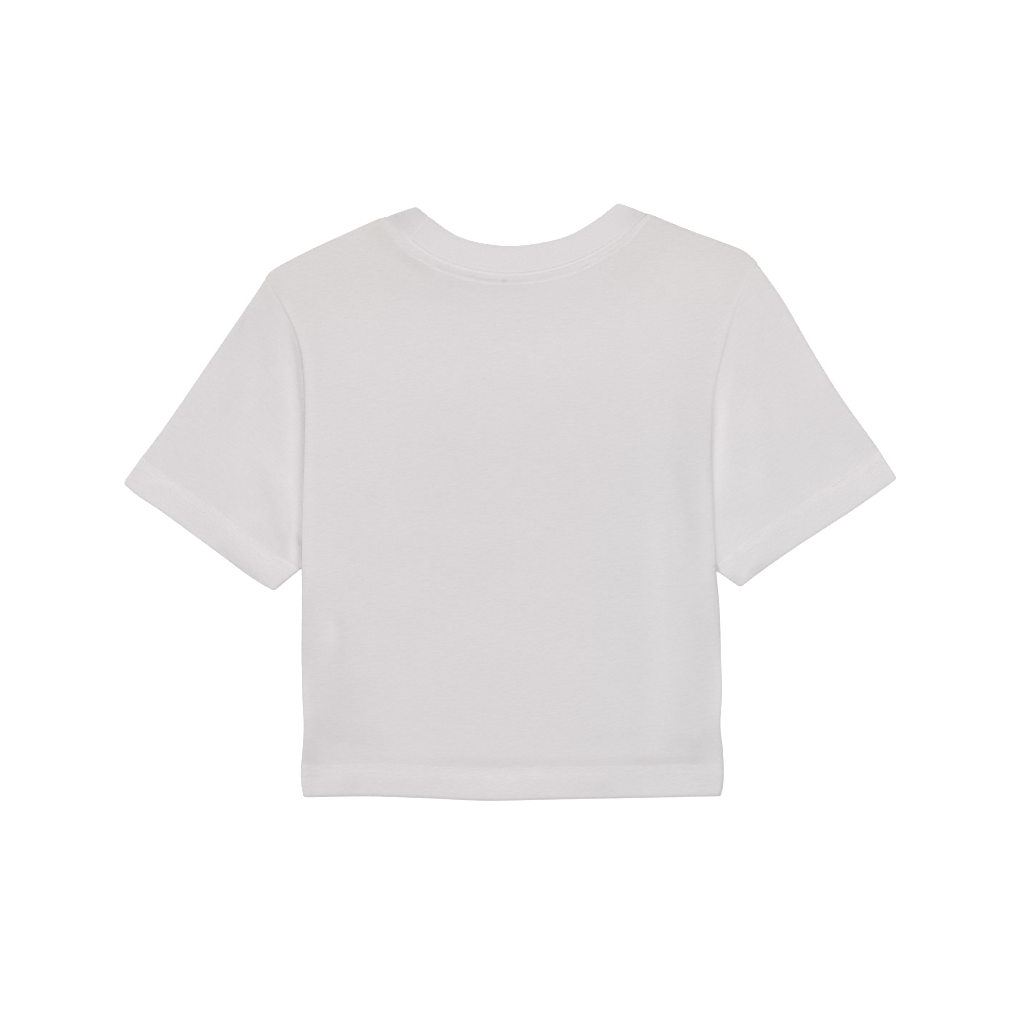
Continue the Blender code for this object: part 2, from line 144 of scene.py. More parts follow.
def quarter_round(distance: Numbers, roll: Numbers) -> Numbers:
    """Return a quarter circle's rise over the roll: upright at the edge, and level, at 1, past the roll."""
    share = 1 - np.clip(distance / roll, 0.0, 1.0)
    return np.sqrt(1 - share * share)


def mixed(low: Numbers, high: Numbers, share: Numbers) -> Numbers:
    """Return the value between low and high at the share."""
    return low + (high - low) * share


def belled(distance: Numbers, amounts: Amounts) -> Numbers:
    """Return the sum of bells over a distance, each with its own height and half width."""
    return sum(amount * bell(distance, half_width) for amount, half_width in amounts)


def faded(distance: Numbers, amounts: Amounts) -> Numbers:
    """Return the sum of amounts that each fall with e to the minus distance over their own reach."""
    return sum(amount * np.exp(-distance / reach) for amount, reach in amounts)


def over_turn_up(hem: Numbers, step: float) -> Numbers:
    """Return how far cloth has risen over a turn-up: as a soft slope, and the step's share at its edge."""
    return (1 - step) * nearness(hem, *HEM_SLOPE) + step * nearness(hem, HEM_RIDGE, 0.0026)


def unit(vectors: Places) -> Places:
    """Return vectors made as long as 1."""
    return vectors / np.linalg.norm(vectors, axis=-1, keepdims=True)


def away_from(places: Places, point: Places) -> Numbers:
    """Return the places' distances from a point, in plan."""
    return np.linalg.norm(places[..., :2] - point, axis=-1)


def with_level(plan: Places, level: Numbers | float) -> Places:
    """Return the plan's places with their levels as the third coordinate."""
    return np.concatenate((plan, np.broadcast_to(level, plan.shape[:-1])[..., None]), axis=-1)


class Curve:
    """A smooth line in plan through a few points."""

    STEPS = 10
    AHEAD = 0.004

    def __init__(self, points: Sequence[Sequence[float]]) -> None:
        """Work out the line.

        Between two points it is the Catmull-Rom cubic, whose slope at a point is half the step between that
        point's two neighbours. The line's ends have mirrored neighbours.

        Args:
            points: The places that the line goes through.
        """
        given = np.asarray(points, float)[:, :2]
        padded = np.vstack((2 * given[:1] - given[1:2], given, 2 * given[-1:] - given[-2:-1]))
        before, start, end, after = padded[:-3, None], padded[1:-2, None], padded[2:-1, None], padded[3:, None]
        share = np.linspace(0.0, 1.0, self.STEPS, endpoint=False)[None, :, None]
        spans = 0.5 * (
            2 * start
            + (end - before) * share
            + (2 * before - 5 * start + 4 * end - after) * share**2
            + (3 * start - before - 3 * end + after) * share**3
        )
        self.points = np.vstack((spans.reshape(-1, 2), given[-1:]))
        self.steps = np.linalg.norm(np.diff(self.points, axis=0), axis=1)
        self.travelled = np.concatenate(([0.0], np.cumsum(self.steps)))

    @property
    def length(self) -> float:
        """Return the line's length."""
        return float(self.travelled[-1])

    def at(self, shares: Numbers) -> Places:
        """Return the places at the given shares of the line's length."""
        wanted = np.asarray(shares) * self.length
        return np.stack([np.interp(wanted, self.travelled, self.points[:, axis]) for axis in range(2)], axis=-1)

    def direction(self, shares: Numbers) -> Places:
        """Return the unit vectors along the line at the given shares of its length."""
        before, after = (np.clip(np.asarray(shares) + step, 0, 1) for step in (-self.AHEAD, self.AHEAD))
        return unit(self.at(after) - self.at(before))

    def measure(self, places: Places) -> tuple[Numbers, Numbers]:
        """Measure places against the line.

        A place is dropped square on to each short step of the line, and the nearest step counts. The distance
        is positive to the left of the line's direction.

        Args:
            places: Places whose first two coordinates are their plan.

        Returns:
            The signed distances to the line, and the distances travelled along it.
        """
        plan = places[..., :2]
        nearest = np.full(plan.shape[:-1], np.inf)
        signed = np.zeros(plan.shape[:-1])
        along = np.zeros(plan.shape[:-1])
        for start, end, step, before in zip(self.points, self.points[1:], self.steps, self.travelled):
            offset = plan - start
            unit = (end - start) / step
            reach = np.clip(offset @ unit, 0.0, step)
            distance = np.linalg.norm(offset - reach[..., None] * unit, axis=-1)
            left = unit[0] * offset[..., 1] - unit[1] * offset[..., 0]
            closer = distance < nearest
            nearest = np.where(closer, distance, nearest)
            signed = np.where(closer, np.copysign(distance, left), signed)
            along = np.where(closer, before + reach, along)
        return signed, along

    def distance(self, places: Places) -> Numbers:
        """Return the places' distances to the line."""
        return np.abs(self.measure(places)[0])


@dataclass(frozen=True)
class Crease:
    """A soft ridge of the cloth, or a trough where its height is negative, and how much lighter it lies,
    as painted light and shade along the crease.

    Its points, half width and height are in millimetres.
    """

    points: tuple[Point, ...]
    half_width: float
    height: float
    tone: float = 0.0
    fade: float = 0.3

    def share(self, places: Places) -> Numbers:
        """Return how much of the crease is at each place: a bell across its line, that fades towards its ends.

        Args:
            places: Places whose first two coordinates are their plan.

        Returns:
            Shares from 0 to 1.
        """
        line = CUT.curve(self.points)
        signed, along = line.measure(places)
        share = along / line.length
        ends = smooth_step(share / self.fade) * smooth_step((1 - share) / self.fade)
        return bell(signed, self.half_width / PER_METRE) * mixed(0.25, 1.0, ends)


def shade(points: tuple[Point, ...], half_width: float, tone: float, fade: float = 0.3) -> Crease:
    """Return a crease with no height and only a tone: painted light and shade, or a stain's yellowing."""
    return Crease(points, half_width, 0.0, tone, fade)


def creased(places: Places, creases: Sequence[Crease]) -> Numbers:
    """Return the sum of the creases' heights."""
    return sum((crease.height / PER_METRE * crease.share(places) for crease in creases if crease.height), 0.0)


def toned(places: Places, creases: Sequence[Crease]) -> Numbers:
    """Return the sum of the creases' tones at each place: painted light and shade, and in BACK_STAINS
    yellowing.
    """
    start = np.zeros(places.shape[:-1])
    return sum((crease.tone * crease.share(places) for crease in creases if crease.tone), start)


@dataclass(frozen=True)
class SeamShade:
    """A band of painted light or shade beside an armhole seam, whose place, width and tone change along
    the seam. Where it is lighter, it also stands for the seam allowance's plies under the cloth.

    Each row is a share of the seam from the underarm up, then the band's distance from the seam, positive on
    the sleeve, and its half width, both in millimetres, and its tone.
    """

    rows: Sections

    def tones(self, places: Places, side: Side) -> Numbers:
        """Return the band's tone at each place: a bell across it, mixed evenly between its rows."""
        seam = CUT.line(CUT.armhole, side)
        signed, travelled = seam.measure(places)
        shares, *columns = np.array(self.rows).T
        centre, half_width, tone = (np.interp(travelled / seam.length, shares, column) for column in columns)
        return tone * bell(signed * -side.value * PER_METRE - centre, half_width)


def seam_shaded(places: Places, side: Side) -> Numbers:
    """Return the sum of the tones of the bands beside an armhole seam, which are painted light and shade."""
    return sum(band.tones(places, side) for band in ARMHOLE_SHADES[side])


def greyed(places: Places) -> Numbers:
    """Return how much greyer the cloth is: not at all on the left, most at the right below the shoulder."""
    return smooth_step((places[..., 0] - 0.02) / 0.10) * smooth_step((0.16 - places[..., 1]) / 0.20)


@dataclass(frozen=True)
class Cut:
    """The garment's outline and seam lines, in millimetres.

    A seam's first two columns are its left side and the others its right. In the neck's tables the first two
    are the seam and the others the rib's folded edge.
    """

    side: Sections = (
        (-165, -236.4, 168.1, -235.6),
        (-166.9, -224.5, 170.1, -227.4),
        (-167.1, -213, 170.7, -215),
        (-165.8, -199, 169.8, -197),
        (-164.9, -180, 168, -178),
        (-165.8, -160, 169.2, -154),
        (-166.6, -125, 168.4, -120),
        (-166.4, -85, 167.3, -85),
        (-166.4, -53, 164.5, -55),
    )
    armhole: Sections = (
        (-166.4, -53, 164.5, -55),
        (-165.8, -14.6, 162.8, -6.6),
        (-164.4, 37.4, 161.5, 41.4),
        (-164, 77.4, 161.7, 75),
        (-165.9, 111, 165.7, 100.9),
        (-170.8, 132.6, 172.9, 128.3),
        (-181.6, 155.8, 182, 157.6),
        (-195.6, 179, 197.8, 190.8),
    )
    shoulder: Sections = (
        (-195.6, 179, 197.8, 190.8),
        (-191.3, 184, 191.7, 196.8),
        (-181.2, 190.4, 182, 202.9),
        (-156, 203.2, 146.4, 216),
        (-127.8, 216, 122.2, 225.6),
        (-107.4, 225.2, 114.4, 229),
        (-100.1, 227.5, 109.6, 230.4),
    )
    sleeve_top: Sections = (
        (-195.6, 179, 197.8, 190.8),
        (-207.2, 161.4, 218.5, 161.4),
        (-240, 113.4, 240.8, 123),
        (-272.9, 65.4, 264.6, 84.6),
        (-301.2, 27, 292, 46.2),
        (-309.8, 15, 309.8, 18.6),
    )
    cuff: Sections = (
        (-309.8, 15, 309.8, 18.6),
        (-298.9, 5.4, 290.8, 4.8),
        (-280, -7.2, 272.5, -7.7),
        (-256, -24.6, 248.4, -23.4),
        (-232, -42.2, 224.3, -39.2),
        (-208, -60, 200, -56.3),
        (-188.8, -71.6, 184, -68.6),
    )
    sleeve_under: Sections = (
        (-166.4, -53, 164.5, -55),
        (-178.4, -62.6, 173.6, -61.6),
        (-188.8, -71.6, 184, -68.6),
    )
    hem: tuple[Point, ...] = (
        (-165, -236.4),
        (-115, -235.7),
        (-72, -237),
        (-19, -239.2),
        (28, -238.3),
        (88, -237.2),
        (168.1, -235.6),
    )
    back_neck: Sections = (
        (-100.1, 227.5, -75.3, 236.4),
        (-81.3, 207.6, -62.5, 226.2),
        (-59.2, 193.2, -43.6, 213.4),
        (-32, 183.6, -23, 207),
        (-1.6, 179.8, 0, 204.7),
        (28.2, 183, 23.6, 207),
        (57.4, 192.1, 47.7, 213.4),
        (86.2, 208.6, 69.6, 226.2),
        (109.6, 230.4, 86.3, 239.3),
    )
    front_neck: Sections = (
        (-100.1, 227.5, -75.3, 236.4),
        (-93.6, 201.4, -68.8, 215.8),
        (-76.8, 175, -52, 191.8),
        (-48, 151.8, -27.2, 171),
        (4, 139, 4.8, 161.4),
        (56, 151.8, 36.8, 171.8),
        (85.6, 175.8, 61.6, 193.4),
        (102.4, 203, 78.4, 217.4),
        (109.6, 230.4, 86.3, 239.3),
    )
    tape_row: tuple[Point, ...] = (
        (-100.4, 220.6),
        (-98, 215.2),
        (-91.6, 206.8),
        (-82.2, 198.5),
        (-69.4, 191.4),
        (-57.4, 185),
        (-43.8, 180.3),
        (-26.7, 176),
        (-9.6, 173.9),
        (17.6, 174.8),
        (34.6, 177.7),
        (51.7, 182.4),
        (64.5, 188.4),
        (81.6, 198.2),
        (94.4, 207),
        (102, 215.5),
        (109, 224.7),
    )

    def line(self, rows: Sections, side: Side) -> Curve:
        """Return the line of an edge on one side of the garment."""
        table = np.array(rows)
        return self.curve(table[:, :2] if side is Side.LEFT else table[:, 2:])

    def band(self, rows: Sections) -> tuple[Curve, Curve]:
        """Return the seam line and the folded edge of a half of the neck rib."""
        table = np.array(rows)
        return self.curve(table[:, :2]), self.curve(table[:, 2:])

    def curve(self, points: Sequence[Sequence[float]]) -> Curve:
        """Return the line through points in millimetres."""
        return Curve(np.array(points) / PER_METRE)


CUT = Cut()

# The back's creases: heights, and tones that are painted light and shade along them.
BACK_CREASES = (
    Crease(((116.8, 9.4), (120, -54.6), (122.8, -126.6), (121.6, -194.6)), 9, 0.6, 0.018),
    Crease(((144, 57.4), (147.2, -30.6), (147.2, -126.6), (144.8, -202.6)), 8, -0.5, -0.008),
    Crease(((-132, -75.4), (-126.4, -110.6), (-123.2, -150.6)), 9, -0.3),
    Crease(((-143.2, -89.8), (-142.4, -110.6)), 4, 0.3),
    Crease(((-163.2, -186.6), (-144, -200.2), (-126.4, -206.6)), 9, -0.5),
    Crease(((-160, -150.6), (-148, -170.6)), 10, -0.3),
    Crease(((152, -162.6), (158.4, -186.6), (155.2, -204.2)), 9, -0.5),
    Crease(((-72, -207.4), (40, -209), (104, -206.6), (164.8, -205)), 4.4, -0.3, -0.030),
    Crease(((-160, -205.8), (-132, -207.4)), 3.4, -0.2),
    Crease(((-94.4, 204.6), (-78.4, 191.8), (-62.4, 183)), 5, -0.3, -0.020),
    shade(((-60, 188), (-30, 179.1), (-9, 176.7)), 0.6, -0.060, 0.1),
    Crease(((-6.2, 176.6), (-4.4, 176.5), (-2.6, 176.5)), 0.9, -0.1, -0.240, 0.3),
    Crease(((-60, 190.4), (-54, 187.6), (-47, 185.6)), 0.8, -0.1, -0.050, 0.2),
    Crease(((-56, 187.6), (-26, 178.9), (-9.2, 176.9), (17.2, 177.8), (50.5, 185.1)), 1.3, -0.1, -0.050, 0.25),
    Crease(((-160.8, 153.4), (-156.8, 113.4), (-157.6, 65.4), (-159.2, 1.4)), 4, 0.3),
    Crease(((-150.4, 137.4), (-147.2, 81.4)), 4, -0.2),
    Crease(((156.8, 125.4), (153.6, 81.4), (154.4, 25.4)), 4, 0.3),
    Crease(((124, 117.4), (123.2, 12.6)), 4.5, -0.2),
    Crease(((-144, 161.4), (-88, 157.4), (-24, 161.4)), 12, -0.3),
    Crease(((-120, 125.4), (-56, 131)), 14, 0.2),
    Crease(((40, 119.8), (104, 125.4)), 13, 0.2),
)
# Patches of painted light and shade on the back, in part how see-through the cloth is: darker at the edges and
# corners, under the collar and at the underarm, lighter over the broad middle.
BACK_PAINTED_SHADING = (
    shade(((-160, 125), (0, 119), (156, 135)), 42, 0.026, 0.12),
    shade(((64, 135), (150, 185)), 24, 0.012),
    shade(((-112, 220), (-90, 202)), 14, -0.024),
    shade(((-164, -64), (-164, -150), (-164, -220)), 9, -0.045, 0.2),
    shade(((-136, -100), (-136, -170), (-150, -210)), 24, -0.048, 0.4),
    shade(((162, -74), (164, -170), (162, -210)), 11, -0.028, 0.2),
    shade(((140, -200), (166, -188)), 14, -0.035, 0.2),
    shade(((-110, -170), (40, -176), (116, -178)), 32, -0.010),
    shade(((48, -218), (96, -216), (140, -210)), 11, -0.028),
    shade(((144, 100), (142, 50), (142, -5)), 15, -0.020),
    shade(((-148, 85), (-148, 35)), 20, 0.014),
    shade(((-150, -170), (-156, -216)), 14, -0.045, 0.2),
    shade(((148, -185), (150, -218)), 14, -0.030, 0.2),
    shade(((115, 190), (180, 175)), 18, 0.020, 0.2),
    shade(((-85, 196), (-56, 180), (-20, 170), (25, 171)), 6, -0.024, 0.2),
    shade(((167.5, -105), (168.5, -145), (167.5, -185)), 5, 0.085, 0.35),
    shade(((149, -70), (151.5, -114.6), (150, -170)), 7, -0.026, 0.25),
    shade(((120, -190), (142, -196)), 8, -0.030, 0.25),
    shade(((-163, -130), (-163, -156), (-160.5, -180)), 4.5, 0.050),
    shade(((-147, -98), (-145, -112)), 6, 0.015),
    shade(((-142.5, -93), (-142, -118)), 3.5, 0.045),
    shade(((-135, -80), (-134.5, -130)), 4.5, -0.022),
    shade(((-150, -188), (-95, -190)), 8, -0.020),
    shade(((-132, -193), (-110, -195), (-90, -196)), 10, -0.020),
    shade(((-162, -162), (-163, -196)), 5, 0.018),
    shade(((-137, -228.5), (-118, -228.5)), 6.5, -0.022),
    shade(((-166, -229), (-145, -229)), 6, 0.018),
    shade(((112, -178), (118, -200)), 5, 0.012),
    shade(((163, -50), (165, -54.5)), 1.2, -0.150),
    shade(((56, -190), (115, -188)), 8, -0.024),
    shade(((-24, -224), (12, -224)), 10, 0.018),
    shade(((-130, -218.5), (-30, -220), (100, -219.5)), 4, 0.016, 0.15),
    shade(((-166, -231), (-154, -230)), 5, -0.035),
    shade(((-120, 174), (-20, 164)), 12, -0.012),
    shade(((77.3, 198.7), (83, 201.3), (88, 204)), 0.6, -0.070, 0.2),
    shade(((54, 185.7), (63.2, 190.2)), 0.6, -0.060, 0.2),
    shade(((50, 188), (72, 198.5), (88, 208.5)), 2, 0.016, 0.2),
    shade(((-114, 95), (-112, 5)), 20, 0.013),
    shade(((115, 110), (118, 10), (118, -90)), 13, 0.014),
    shade(((-150, 145), (-150, -90)), 13, 0.009),
    shade(((-150, -25), (-150, -80)), 13, 0.009),
    shade(((-164, -198), (-158, -214)), 7, -0.030, 0.2),
    shade(((-156, -219), (-134, -218.5)), 4.5, 0.030, 0.2),
    shade(((-142, -226), (-50, -226)), 8, -0.014, 0.15),
    shade(((-145, -207), (-90, -207.5), (-30, -209.5), (30, -209.5)), 5, -0.024, 0.15),
    shade(((95, -208), (125, -207.5), (155, -207)), 4, -0.034, 0.2),
    shade(((-160, -186), (-146, -190)), 8, 0.014),
    shade(((48, -229), (90, -229)), 7, -0.022),
    shade(((148, -229), (164, -224)), 7, -0.022),
    shade(((101, -100), (101, -190)), 9, -0.014),
    shade(((139, -135), (139, -188)), 7, -0.016),
    shade(((164, -140), (165, -180)), 5, 0.024),
    shade(((-140, -132), (-100, -133)), 8, 0.015),
    shade(((159, 38), (159, 2)), 6, 0.020),
    shade(((131, 38), (138, 12), (144, -16), (148, -56)), 5.5, -0.022, 0.25),
    shade(((-88, 197.5), (-72, 188)), 4.5, -0.024),
    shade(((-164, -218), (-150, -220)), 1.4, -0.050),
    shade(((-160, -215), (-150, -216.5)), 1, -0.040),
)
# A small brown spot, whose tone is how much more the cloth has yellowed there.
BACK_STAINS = (shade(((100, -206.6), (105.5, -207.4), (110, -207.8)), 1.6, 0.70, 0.4),)
FRONT_CREASES = (
    Crease(((-118, 70), (-112, -10), (-120, -130)), 10, 0.4),
    Crease(((102, 30), (110, -60), (101, -170)), 8, 0.3),
    Crease(((-50, -90), (-38, -140), (-44, -185)), 11, 0.3),
    Crease(((-140, 130), (-90, 105), (-30, 101)), 9, 0.4),
    Crease(((145, 135), (95, 110), (50, 108)), 7, 0.3),
    Crease(((133, -130), (118, -170), (90, -190)), 8, 0.4),
)
# The left sleeve's creases: heights, and tones that are painted light and shade along them.
LEFT_SLEEVE_CREASES = (
    Crease(((-183.2, 137.4), (-175.2, 81.4), (-175.2, 25.4), (-177.6, -26.6)), 7, 0.7, 0.036, 0.2),
    Crease(((-198.4, 97.4), (-195.2, 41.4), (-192, -14.6)), 8, -0.2),
    Crease(((-208, 150), (-230, 118)), 10, -0.1, -0.026),
    Crease(((-204, 148), (-193.5, 123.4), (-196, 100)), 6, -0.1, -0.022),
    shade(((-219.1, 99), (-228.9, 64)), 6, -0.014),
    shade(((-205.6, 108), (-208, 65)), 5, 0.014),
    shade(((-218, 70), (-206, 10), (-200, -40)), 26, 0.012),
    Crease(((-177.6, -21), (-176.8, -52.2)), 2.2, -0.4),
    Crease(((-172, -14.6), (-171.2, -46.6)), 2.2, 0.3),
    Crease(((-211.5, 153.4), (-212.8, 145.4), (-216.1, 135.2)), 1.8, -0.2, -0.035),
    Crease(((-301, 11.8), (-292.5, 16), (-280, 16), (-266, 11.5)), 2.2, 0.2, 0.028),
    Crease(((-197.6, 47.8), (-187, 27), (-172.8, 7)), 5.5, 0.1, 0.028),
    Crease(((-202.4, 30.2), (-192, 0), (-180, -41)), 5, -0.1, -0.025),
    Crease(((-171.2, -25), (-166.4, -37)), 1.8, -0.1, -0.090),
    shade(((-176, -33), (-173, -50)), 5, 0.030),
    shade(((-212, 156), (-190, 144)), 11, -0.018),
    shade(((-237, 138), (-222, 130)), 8, 0.022),
    shade(((-210, 90), (-212, 45), (-208, 5)), 16, 0.013),
    shade(((-230, -15), (-204, -22)), 9, 0.020),
    shade(((-234, -34), (-218, -42)), 6, -0.020),
    Crease(((-222.4, -49.8), (-208, -59.4), (-195.2, -67.4)), 4, -0.4),
    Crease(((-177.6, 143.3), (-171.7, 124.3), (-168.6, 97.1), (-167.2, 74.4)), 1.8, -0.5),
    Crease(((-224, 129.4), (-240, 57.4), (-248, 25.4)), 16, 0.3),
    shade(((-230, -43), (-208, -60), (-190, -70)), 7, -0.045),
    shade(((-240, -32), (-220, -46.5), (-195, -65)), 4, -0.030, 0.2),
    shade(((-208, -37), (-183, -54)), 5, 0.032),
    Crease(((-222, -1.1), (-209.3, -9.9), (-195.6, -16.8)), 1.4, 0.1, 0.022),
    shade(((-183.5, -24), (-182, -39)), 2.6, -0.025),
    shade(((-270, -3), (-220, -38)), 8, -0.012),
)
# The right sleeve's creases: heights, and tones that are painted light and shade along them.
RIGHT_SLEEVE_CREASES = (
    Crease(((169.6, 105.4), (168, 57.4), (168.8, 1.4), (170, -38.6)), 8, 0.7, 0.036, 0.2),
    Crease(((190.4, 97.4), (193.6, 49.4), (192, 1.4)), 12, 0.3, 0.018, 0.2),
    shade(((232, 130), (256, 90)), 16, 0.014),
    shade(((250, 10), (290, 26)), 15, 0.016),
    Crease(((204.8, 97.4), (211.2, 41.4), (217.6, 1.4)), 7, -0.3),
    Crease(((193.6, -57.8), (204, -49), (213.6, -41)), 4, -0.4),
    Crease(((197.6, 161.4), (196, 121.4), (192, 81.4)), 4, 0.2),
    shade(((224.6, -38.6), (200, -56.3), (185, -67.6)), 7, -0.045),
    shade(((165, 0), (166, 30), (169, 65), (169.5, 90)), 4, 0.045, 0.25),
    shade(((175, -8), (185, -45)), 16, 0.030),
    shade(((276, 20), (300, 22)), 12, 0.020),
    shade(((196, 38), (196, -5)), 8, 0.016),
    shade(((272, 54), (296, 39)), 8, -0.020),
    shade(((178, 70), (178, -5)), 7, 0.012),
    shade(((206, -32), (228, -14)), 6, -0.016),
    shade(((238, 10), (262, 6)), 8, 0.014),
    shade(((163.5, -49), (167, -56)), 1.6, -0.240),
    shade(((175.1, -56.2), (183.9, -66.6)), 3, -0.055),
    shade(((185.5, -61), (190.4, -52.2)), 2.4, 0.040),
    shade(((191.1, -57.5), (204, -48)), 2.8, -0.045),
)
LEFT_SLEEVE_UNDER_CREASES = (
    Crease(((-190, 125), (-185, 50), (-188, -10)), 6, 0.4),
    Crease(((-220, 105), (-245, 50)), 9, 0.3),
)
RIGHT_SLEEVE_UNDER_CREASES = (
    Crease(((185, 130), (180, 60), (183, -5)), 7, 0.4),
    Crease(((225, 95), (238, 40)), 8, 0.3),
)
# Bands of painted light and shade beside the armhole seams, lighter in part where the seam allowance's plies
# lie under the cloth.
ARMHOLE_SHADES = {
    Side.LEFT: (
        SeamShade((
            (0.00, 0.2, 0.8, -0.01), (0.18, 0.2, 0.8, -0.01), (0.32, 0.2, 0.8, -0.03),
            (0.48, 0.1, 0.9, -0.07), (0.62, -0.1, 0.9, -0.12), (0.75, 0, 0.9, -0.09),
            (0.85, 0, 0.8, -0.16), (0.94, 0, 0.8, -0.06), (1.00, 0, 0.8, 0.0),
        )),
        SeamShade((
            (0.78, 0.9, 0.6, 0.0), (0.84, 0.9, 0.6, 0.035), (1.00, 0.9, 0.6, 0.045),
        )),
        SeamShade((
            (0.08, 2, 1.4, -0.06), (0.18, 1.8, 1.2, -0.02), (0.32, 1.7, 1.2, -0.06),
            (0.48, 1.8, 1.6, -0.06), (0.62, 3.6, 1.2, -0.085), (0.75, 2.6, 2.2, -0.05),
            (0.85, 2.6, 2.2, 0.0),
        )),
        SeamShade((
            (0.08, 7, 3, 0.040), (0.18, 6.2, 3, 0.060), (0.32, 9, 4.5, 0.030),
            (0.48, 9, 4.5, 0.028), (0.62, 11.5, 3.5, 0.025), (0.75, 11.5, 3.5, 0.0),
            (0.85, 10, 6, -0.012), (0.95, 6, 6, -0.032), (1.00, 6, 6, -0.025),
        )),
        SeamShade((
            (0.00, -5, 4.5, 0.018), (0.60, -5, 4.5, 0.022), (0.75, -4.5, 3.5, 0.028),
            (0.88, -3, 3, 0.024), (0.94, -5, 4.5, -0.015),
        )),
    ),
    Side.RIGHT: (
        SeamShade((
            (0.00, 0, 1.2, -0.03), (0.08, 0.2, 1.2, -0.03), (0.18, 0.2, 1.3, -0.12),
            (0.32, -0.2, 1.5, -0.10), (0.48, 0.7, 1.6, -0.09), (0.62, 0.2, 0.8, -0.07),
            (0.75, 0, 0.8, -0.08), (0.85, 0, 0.7, -0.04), (0.92, 0, 0.7, 0.0),
        )),
        SeamShade((
            (0.00, 1.8, 1, -0.04), (0.10, 1.8, 1, -0.04), (0.18, -2.5, 2, 0.0),
            (0.32, -2.5, 2, -0.040), (0.48, 2.6, 1.6, -0.045), (0.58, 2.4, 1.2, 0.0),
        )),
        SeamShade((
            (0.06, 9, 5, 0.020), (0.18, 7, 7, -0.024), (0.32, 10, 5, 0.030),
            (0.48, 9.5, 4.5, 0.020), (0.62, 10, 6, 0.030), (0.75, 6, 6, 0.010),
            (0.90, 6, 6, 0.006),
        )),
        SeamShade((
            (0.10, -6, 4, 0.020), (0.25, -6, 4, 0.018), (0.32, -6, 4, 0.0),
            (0.50, -6, 4, 0.0), (0.62, -4, 3, 0.022), (0.75, -6, 4, 0.030),
            (0.86, -2.2, 2.2, 0.035), (0.95, -2, 2.5, 0.030),
        )),
    ),
}


class Value:
    """A number that varies over a surface: a socket whose operators add Math nodes."""

    def __init__(self, nodes: "Nodes", socket: bpy.types.NodeSocket) -> None:
        """Keep the socket and the nodes that it belongs to."""
        self.nodes = nodes
        self.socket = socket

    def math(self, operation: str, *others: "Value | float") -> "Value":
        """Return the operation's result on this value and the others."""
        return self.nodes.add("ShaderNodeMath", {"operation": operation}, dict(enumerate((self, *others))))

    def __add__(self, other: "Value | float") -> "Value":
        """Return the sum."""
        return self.math("ADD", other)

    __radd__ = __add__

    def __mul__(self, other: "Value | float") -> "Value":
        """Return the product."""
        return self.math("MULTIPLY", other)

    __rmul__ = __mul__

    def __sub__(self, other: "Value | float") -> "Value":
        """Return the difference."""
        return self.math("SUBTRACT", other)

    def __rsub__(self, other: float) -> "Value":
        """Return a number less this value."""
        return self.nodes.add("ShaderNodeMath", {"operation": "SUBTRACT"}, {0: other, 1: self})

    def wave(self, pitch: float) -> "Value":
        """Return a sine of this length, from -1 to 1, that repeats at the pitch."""
        return (self * (2 * np.pi / pitch)).math("SINE")

    def bell(self, centre: float, half_width: float) -> "Value":
        """Return e to the minus square of this value's distance from the centre, in half widths."""
        distance = (self - centre) * (1 / half_width)
        return (distance * distance * -1).math("EXPONENT")

    def rise(self, start: float, end: float) -> "Value":
        """Return a soft step from 0 at the start to 1 at the end."""
        settings = {"interpolation_type": "SMOOTHSTEP"}
        return self.nodes.add("ShaderNodeMapRange", settings, {0: self, 1: start, 2: end})


Paint = Value | Sequence[float]


